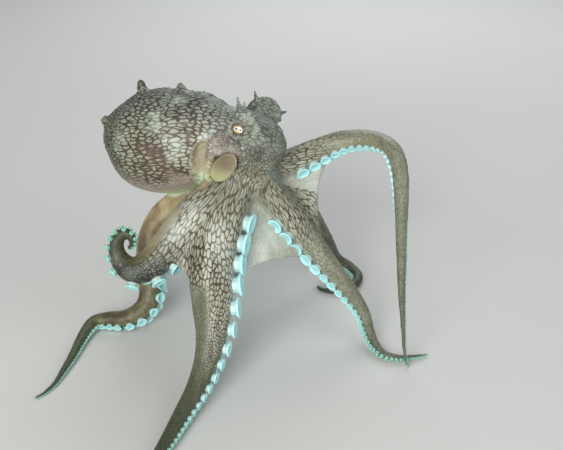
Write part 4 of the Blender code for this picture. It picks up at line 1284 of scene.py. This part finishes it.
# The first three colours are given at the arm's root and at its tip.
suckerLook = dict(
    rim=((0.52, 0.93, 0.95), (0.22, 0.60, 0.45)), bowl=((0.25, 0.62, 0.66), (0.11, 0.38, 0.28)),
    stalk=((0.50, 0.66, 0.65), (0.18, 0.29, 0.20)), groove=(0.22, 0.40, 0.40), sparkle=(0.70, 0.78, 0.74),
    spokes=13, grooveShare=0.18, sparkleShare=0.2, roughness=(0.28, 0.5), bump=0.4, bumpDepth=0.0003,
    discBand=(0.25, 0.9), stalkBand=(0.40, 0.62), waveBand=(-0.2, 1.0), grooveBand=(0.2, 0.6),
    poreBand=(0.45, 0.7), tipBand=(0.45, 0.95), grooveRise=0.6, poreRise=0.5,
)


def makeSuckerMaterial():
    look = suckerLook
    made, tree, shader = newMaterial("suckerFlesh", {
        "Specular IOR Level": 0.5, "Coat Weight": 0.25, "Coat Roughness": 0.2,
        "Subsurface Weight": 0.15, "Subsurface Scale": 0.001})
    grain = useGrain(tree, 0.5, 21.0)
    bowl, tipward, height, spoke = (readMask(tree, name) for name in ("bowl", "tipward", "lift", "spoke"))
    rim, inner, stalk = (mixColour(tree, tipward, *look[name]) for name in ("rim", "bowl", "stalk"))
    disc = mixColour(tree, smoothStep(tree, bowl, *look["discBand"]), inner, rim)
    colour = mixColour(tree, smoothStep(tree, height, *look["stalkBand"]), stalk, disc)
    # Painted shade: the rim is darker in its radial grooves, the creases of the bump.
    wave = doMath(tree, "SINE", times(tree, spoke, math.tau * look["spokes"]))
    wave = smoothStep(tree, wave, *look["waveBand"])
    groove = times(tree, wave, smoothStep(tree, bowl, *look["grooveBand"]))
    colour = tint(tree, colour, groove, look["groove"], look["grooveShare"])
    pores = smoothStep(tree, grain["Pore"], *look["poreBand"])
    colour = tint(tree, colour, pores, look["sparkle"], look["sparkleShare"])
    lift = plus(tree, times(tree, groove, look["grooveRise"]), times(tree, grain["Pore"], look["poreRise"]))
    dress(tree, shader, look, colour, lift, mixValue(tree, grain["Pore"], *look["roughness"]))
    return made


suckerMaterial = makeSuckerMaterial()


def makeSuckers(name):
    limb = limbs[name]
    cosine, sine = math.cos(suckers["rowAngle"]), math.sin(suckers["rowAngle"])
    bm = bmesh.new()
    marks = {"bowl": [], "tipward": [], "lift": [], "spoke": []}
    for s, row, size in suckerPlaces(limb):
        place, ahead, down, side, thick = limbAt(limb, s)
        kind = "large" if size > suckers["large"] else ("medium" if size > suckers["medium"] else "small")
        flat = coordsOf(shapes[kind])
        root = place + thick * (armShape["oral"] * cosine * down + row * sine * side)
        across, over, facing = frameOf(cosine * down + row * (sine + suckers["tiltOut"]) * side, ahead)
        long = size * (suckers["least"][0] + suckers["uneven"] * rng.random())
        broad = long * (suckers["least"][1] + suckers["uneven"] * rng.random())
        matrix = axesMatrix(root, across, over, facing, broad * suckers["broad"], long * suckers["long"],
                            long * suckers["deep"])
        # None reaches below the floor.
        lowest = min((matrix @ Vector(c))[2] for c in flat)
        if lowest < 0.0:
            matrix = Matrix.Translation((0, 0, -lowest)) @ matrix
        before = len(bm.verts)
        bm.from_mesh(shapes[kind])
        bm.verts.ensure_lookup_table()
        bmesh.ops.transform(bm, matrix=matrix, verts=bm.verts[before:])
        marks["bowl"] += list(np.linalg.norm(flat[:, :2], axis=1))
        marks["lift"] += list(flat[:, 2])
        marks["spoke"] += list(np.arctan2(flat[:, 1], flat[:, 0]) / math.tau + 0.5)
        marks["tipward"] += [float(ramp(s / limb["total"], *suckerLook["tipBand"]))] * len(flat)
    made = objectFrom(name + "_suckers", meshFrom(name + "_suckers", bm))
    for label, values in marks.items():
        keepMask(made.data, label, values)
    settle(made, suckerMaterial)


for name in armOrder:
    makeSuckers(name)
for mesh in shapes.values():
    bpy.data.meshes.remove(mesh)
print("suckers set")


# Colours of the eye and its pupil, white being a painted highlight, then where each part fades, as shares of
# the ball, or of the grain for gold and umber.
eyeLook = dict(
    gold=((0.40, 0.25, 0.115), (0.60, 0.46, 0.27)), umber=((0.16, 0.06, 0.02), (0.42, 0.20, 0.07)),
    edge=(0.02, 0.014, 0.012), halo=(0.90, 0.80, 0.60), white=(0.95, 0.93, 0.86), black=(0.006, 0.005, 0.005),
    iris=(0.50, 0.60), umberAbove=(0.16, 0.44), umberLean=-0.45, slotLean=0.10, slotEnd=0.24,
    slotHeight=(0.045, 0.10), slotLength=(0.26, 0.32), haloHeight=(0.12, 0.20), haloLength=(0.32, 0.42),
    glintRingEnd=(0.16, 0.20), blackEnd=(0.08, 0.12), haloShare=0.7, goldBand=(0.35, 0.65), umberBand=(0.2, 0.8),
    bump=0.12, bumpDepth=0.0001,
)


# The iris is gold and browner above. The pupil is a level slot that sinks to a round end, and the white ring
# round that end is a painted highlight.
def makeEyeMaterial():
    look = eyeLook
    made, tree, shader = newMaterial("eyeball", {
        "Roughness": 0.18, "Specular IOR Level": 0.6, "Coat Weight": 1.0, "Coat Roughness": 0.04})
    grain = useGrain(tree, 0.35, 5.0)
    axes = addNode(tree, "ShaderNodeSeparateXYZ", {0: readMask(tree, "gaze", "Vector")}).outputs
    x, y = axes[0], axes[1]
    radial = lambda a, b: doMath(tree, "SQRT", plus(tree, times(tree, a, a), times(tree, b, b)))
    inside = lambda value, name: lacking(tree, smoothStep(tree, value, *look[name]))
    gold = mixColour(tree, smoothStep(tree, grain["Pore"], *look["goldBand"]), *look["gold"])
    umber = mixColour(tree, smoothStep(tree, grain["Wart"], *look["umberBand"]), *look["umber"])
    above = smoothStep(tree, plus(tree, y, times(tree, x, look["umberLean"])), *look["umberAbove"])
    colour = mixColour(tree, above, gold, umber)
    colour = mixColour(tree, smoothStep(tree, radial(x, y), *look["iris"]), colour, look["edge"])
    bend = plus(tree, y, times(tree, x, look["slotLean"]))
    level, sideways = doMath(tree, "ABSOLUTE", bend), doMath(tree, "ABSOLUTE", x)
    slot = times(tree, inside(level, "slotHeight"), inside(sideways, "slotLength"))
    halo = times(tree, inside(level, "haloHeight"), inside(sideways, "haloLength"))
    fromEnd = radial(minus(tree, x, look["slotEnd"]), bend)
    colour = tint(tree, colour, halo, look["halo"], look["haloShare"])
    # Painted highlight: a white ring round the round end of the pupil.
    colour = tint(tree, colour, inside(fromEnd, "glintRingEnd"), look["white"])
    colour = tint(tree, colour, slot, look["black"])
    colour = tint(tree, colour, inside(fromEnd, "blackEnd"), look["black"])
    dress(tree, shader, look, colour, grain["Pore"])
    return made


lidLook = dict(
    dark=((0.022, 0.015, 0.012), (0.075, 0.052, 0.036)), fleck=(0.22, 0.19, 0.14), roughness=(0.3, 0.55),
    darkBand=(0.35, 0.65), fleckBand=(0.62, 0.92), bump=0.5, bumpDepth=0.0003,
)


def makeLidMaterial():
    look = lidLook
    made, tree, shader = newMaterial("lidSkin", {"Coat Weight": 0.4, "Coat Roughness": 0.2})
    grain = useGrain(tree, 0.5, 13.0)
    colour = mixColour(tree, smoothStep(tree, grain["Pore"], *look["darkBand"]), *look["dark"])
    colour = tint(tree, colour, smoothStep(tree, grain["Wart"], *look["fleckBand"]), look["fleck"])
    dress(tree, shader, look, colour, grain["Wart"], mixValue(tree, grain["Pore"], *look["roughness"]))
    return made


eyeMaterial = makeEyeMaterial()
lidMaterial = makeLidMaterial()


def makeEye(label):
    eye = eyes[label]
    side, over, look = eyeFrame(eye)
    bm, rounds = bmesh.new(), eyeShape["segments"]
    bmesh.ops.create_uvsphere(bm, u_segments=rounds, v_segments=rounds // 2, radius=1.0)
    mesh = meshFrom("eye_" + label, bm)
    keepVector(mesh, "gaze", coordsOf(mesh))
    mesh.transform(axesMatrix(eye["centre"], side, over, look, *([eyeShape["radius"]] * 3)))
    settle(objectFrom("eyeball_" + label, mesh), eyeMaterial, [eye["node"]])

    # The lid is an oval ring resting on the ball.
    bm = bmesh.new()
    upright = Matrix.Translation((eyeShape["lidRadius"], 0, 0)) @ Matrix.Rotation(math.pi / 2, 4, "X")
    ring = bmesh.ops.create_circle(bm, segments=12, radius=eyeShape["lidThick"], matrix=upright)["verts"]
    spinRound(bm, ring + list({edge for vert in ring for edge in vert.link_edges}), 40)
    for vert in bm.verts:
        turn = math.atan2(vert.co.y, vert.co.x)
        vert.co.y *= eyeShape["lidHeight"]
        vert.co.z += eyeShape["lidRise"] + eyeShape["lidWave"] * math.sin(3 * turn)
    mesh = meshFrom("lid_" + label, bm)
    mesh.transform(axesMatrix(eye["centre"], side, over, look))
    settle(objectFrom("lid_" + label, mesh), lidMaterial)


for label in eyes:
    makeEye(label)
print("eyes set")


# The funnel, and its soft dished mouth. The profile holds radii and shares of the reach. The mouth is
# an oval that leans to the lower left in the picture, where it sinks into the skin.
funnel = dict(
    root=(-19.0, -2.0, 97.0), mouth=(-12.9, -13.2, 99.7), lean=(-0.61, -0.79), wide=0.90, tall=1.27,
    sink=0.20, segments=48, rim=6.6,
    profile=[(0.0, 0.0), (4.6, 0.0), (5.0, 0.30), (5.7, 0.55), (6.3, 0.80), (6.58, 0.94), (6.6, 0.985),
             (6.45, 1.005), (6.1, 1.0), (5.2, 0.98), (4.0, 0.955), (2.7, 0.94), (1.3, 0.93), (0.0, 0.93)],
)
# Middle and dusk are painted shade: the dish darker in its middle and on one side.
funnelLook = dict(
    flesh=((0.225, 0.18, 0.11), (0.31, 0.265, 0.165)), middle=(0.15, 0.12, 0.085), dusk=(0.13, 0.105, 0.075),
    low=(0.38, 0.42, 0.20), pore=(0.16, 0.09, 0.06), middleShare=0.35, duskShare=0.65, lowShare=0.75,
    poreShare=0.16, roughness=(0.35, 0.55), bump=0.25, bumpDepth=0.0004, fleshBand=(0.35, 0.65),
    middleBand=(0.75, 0.2), poreBand=(0.5, 0.72), driftRise=2.0, lowSide=(-1.0, 6.0), duskSide=(-5.0, 1.5),
    duskRim=(5.0, 6.4),
)


def makeFunnelMaterial():
    look = funnelLook
    made, tree, shader = newMaterial("funnelFlesh", {
        "Specular IOR Level": 0.4, "Coat Weight": 0.15, "Coat Roughness": 0.3,
        "Subsurface Weight": 0.12, "Subsurface Scale": 0.0015})
    grain = useGrain(tree, 1.2, 31.0)
    colour = mixColour(tree, smoothStep(tree, grain["Drift"], *look["fleshBand"]), *look["flesh"])
    # Painted shade: darker on one side and in the middle of the dish. Yellow green along the lower edge.
    middle = smoothStep(tree, readMask(tree, "bowl"), *look["middleBand"])
    pores = smoothStep(tree, grain["Pore"], *look["poreBand"])
    for name, mask in (("middle", middle), ("dusk", readMask(tree, "dusk")), ("low", readMask(tree, "low")),
                       ("pore", pores)):
        colour = tint(tree, colour, mask, look[name], look[name + "Share"])
    height = plus(tree, grain["Pore"], times(tree, grain["Drift"], look["driftRise"]))
    dress(tree, shader, look, colour, height, mixValue(tree, grain["Pore"], *look["roughness"]))
    return made


def makeFunnel():
    root, mouth = np.array(funnel["root"]), np.array(funnel["mouth"])
    reach = np.linalg.norm(mouth - root)
    ahead = unit(mouth - root)
    lean = np.array((funnel["lean"][0], 0.0, 0.0)) + pictureUp * funnel["lean"][1]
    over = squareTo(lean, ahead)
    profile = [(radius, share * reach) for radius, share in funnel["profile"]]
    mesh = turnedMesh("funnel", profile, funnel["segments"])
    local = coordsOf(mesh)
    out = np.linalg.norm(local[:, :2], axis=1)
    # The bowl and dusk masks place the painted shade in the middle and on one side.
    keepMask(mesh, "bowl", np.where(local[:, 2] > reach * 0.5, out / funnel["rim"], 1.0))
    keepMask(mesh, "low", ramp(local[:, 1], *funnelLook["lowSide"]))
    keepMask(mesh, "dusk", fall(local[:, 1], *funnelLook["duskSide"]) * fall(out, *funnelLook["duskRim"]))
    local[:, 2] -= funnel["sink"] * local[:, 1] * local[:, 2] / reach
    setCoords(mesh, local)
    mesh.transform(axesMatrix(root, np.cross(over, ahead), over, ahead, funnel["wide"], funnel["tall"]))
    settle(objectFrom("funnelTube", mesh), makeFunnelMaterial(), ["funnel"])


makeFunnel()
print("funnel set")

# Floor, light and camera.
stage = dict(
    floor=(0.62, 0.62, 0.60), floorShade=0.95, floorDrop=0.0002, size=30.0, sky=(0.86, 0.88, 0.90),
    skyStrength=0.36, aim=(0, 0, 0.06),
)
# Place, size, power and tint of each lamp, in metres and watts.
lamps = dict(
    keyLight=((-0.31, -0.90, 0.56), 0.55, 8.4, (1.0, 0.985, 0.955)),
    lowLight=((-0.30, -0.90, 0.16), 0.5, 3.6, (1.0, 0.985, 0.95)),
    fillLight=((0.75, -0.45, 0.45), 0.7, 2.6, (0.92, 0.97, 1.0)),
    backLight=((0.15, 0.8, 0.6), 0.6, 4.0, (0.95, 0.98, 1.0)),
)


def makeStage():
    made, tree, shader = newMaterial("paleFloor", {"Roughness": 0.9})
    place = addNode(tree, "ShaderNodeTexCoord").outputs["Object"]
    shade = tuple(c * stage["floorShade"] for c in stage["floor"])
    colour = mixColour(tree, addNoise(tree, place, 6.0, 3.0)["Fac"], stage["floor"], shade)
    tree.links.new(colour, shader["Base Color"])
    bm = bmesh.new()
    bmesh.ops.create_grid(bm, x_segments=8, y_segments=8, size=stage["size"])
    floor = objectFrom("floor", meshFrom("floor", bm))
    floor.data.materials.append(made)
    floor.data.transform(Matrix.Translation((0, 0, -stage["floorDrop"])))

    world = bpy.data.worlds.new("softSky")
    bpy.context.scene.world = world
    world.use_nodes = True
    sky = world.node_tree.nodes["Background"].inputs
    sky["Color"].default_value = (*stage["sky"], 1.0)
    sky["Strength"].default_value = stage["skyStrength"]
    for name, (place, size, power, hue) in lamps.items():
        light = bpy.data.lights.new(name, "AREA")
        light.size, light.energy, light.color = size, power, hue
        lamp = objectFrom(name, light)
        lamp.location = place
        lamp.rotation_euler = (Vector(stage["aim"]) - Vector(place)).to_track_quat("-Z", "Y").to_euler()


def makeCamera():
    data = bpy.data.cameras.new("camera")
    data.sensor_width = view["sensor"]
    data.lens = view["focal"] / view["width"] * view["sensor"]
    data.clip_start, data.clip_end = 0.01, 20.0
    camera = objectFrom("camera", data)
    camera.location = Vector(view["place"]) * mm + shift
    camera.rotation_euler = (math.radians(90 - view["tilt"]), 0.0, 0.0)
    bpy.context.scene.camera = camera


makeStage()
makeCamera()
bpy.context.scene.view_settings.view_transform = "Standard"
print("stage set")
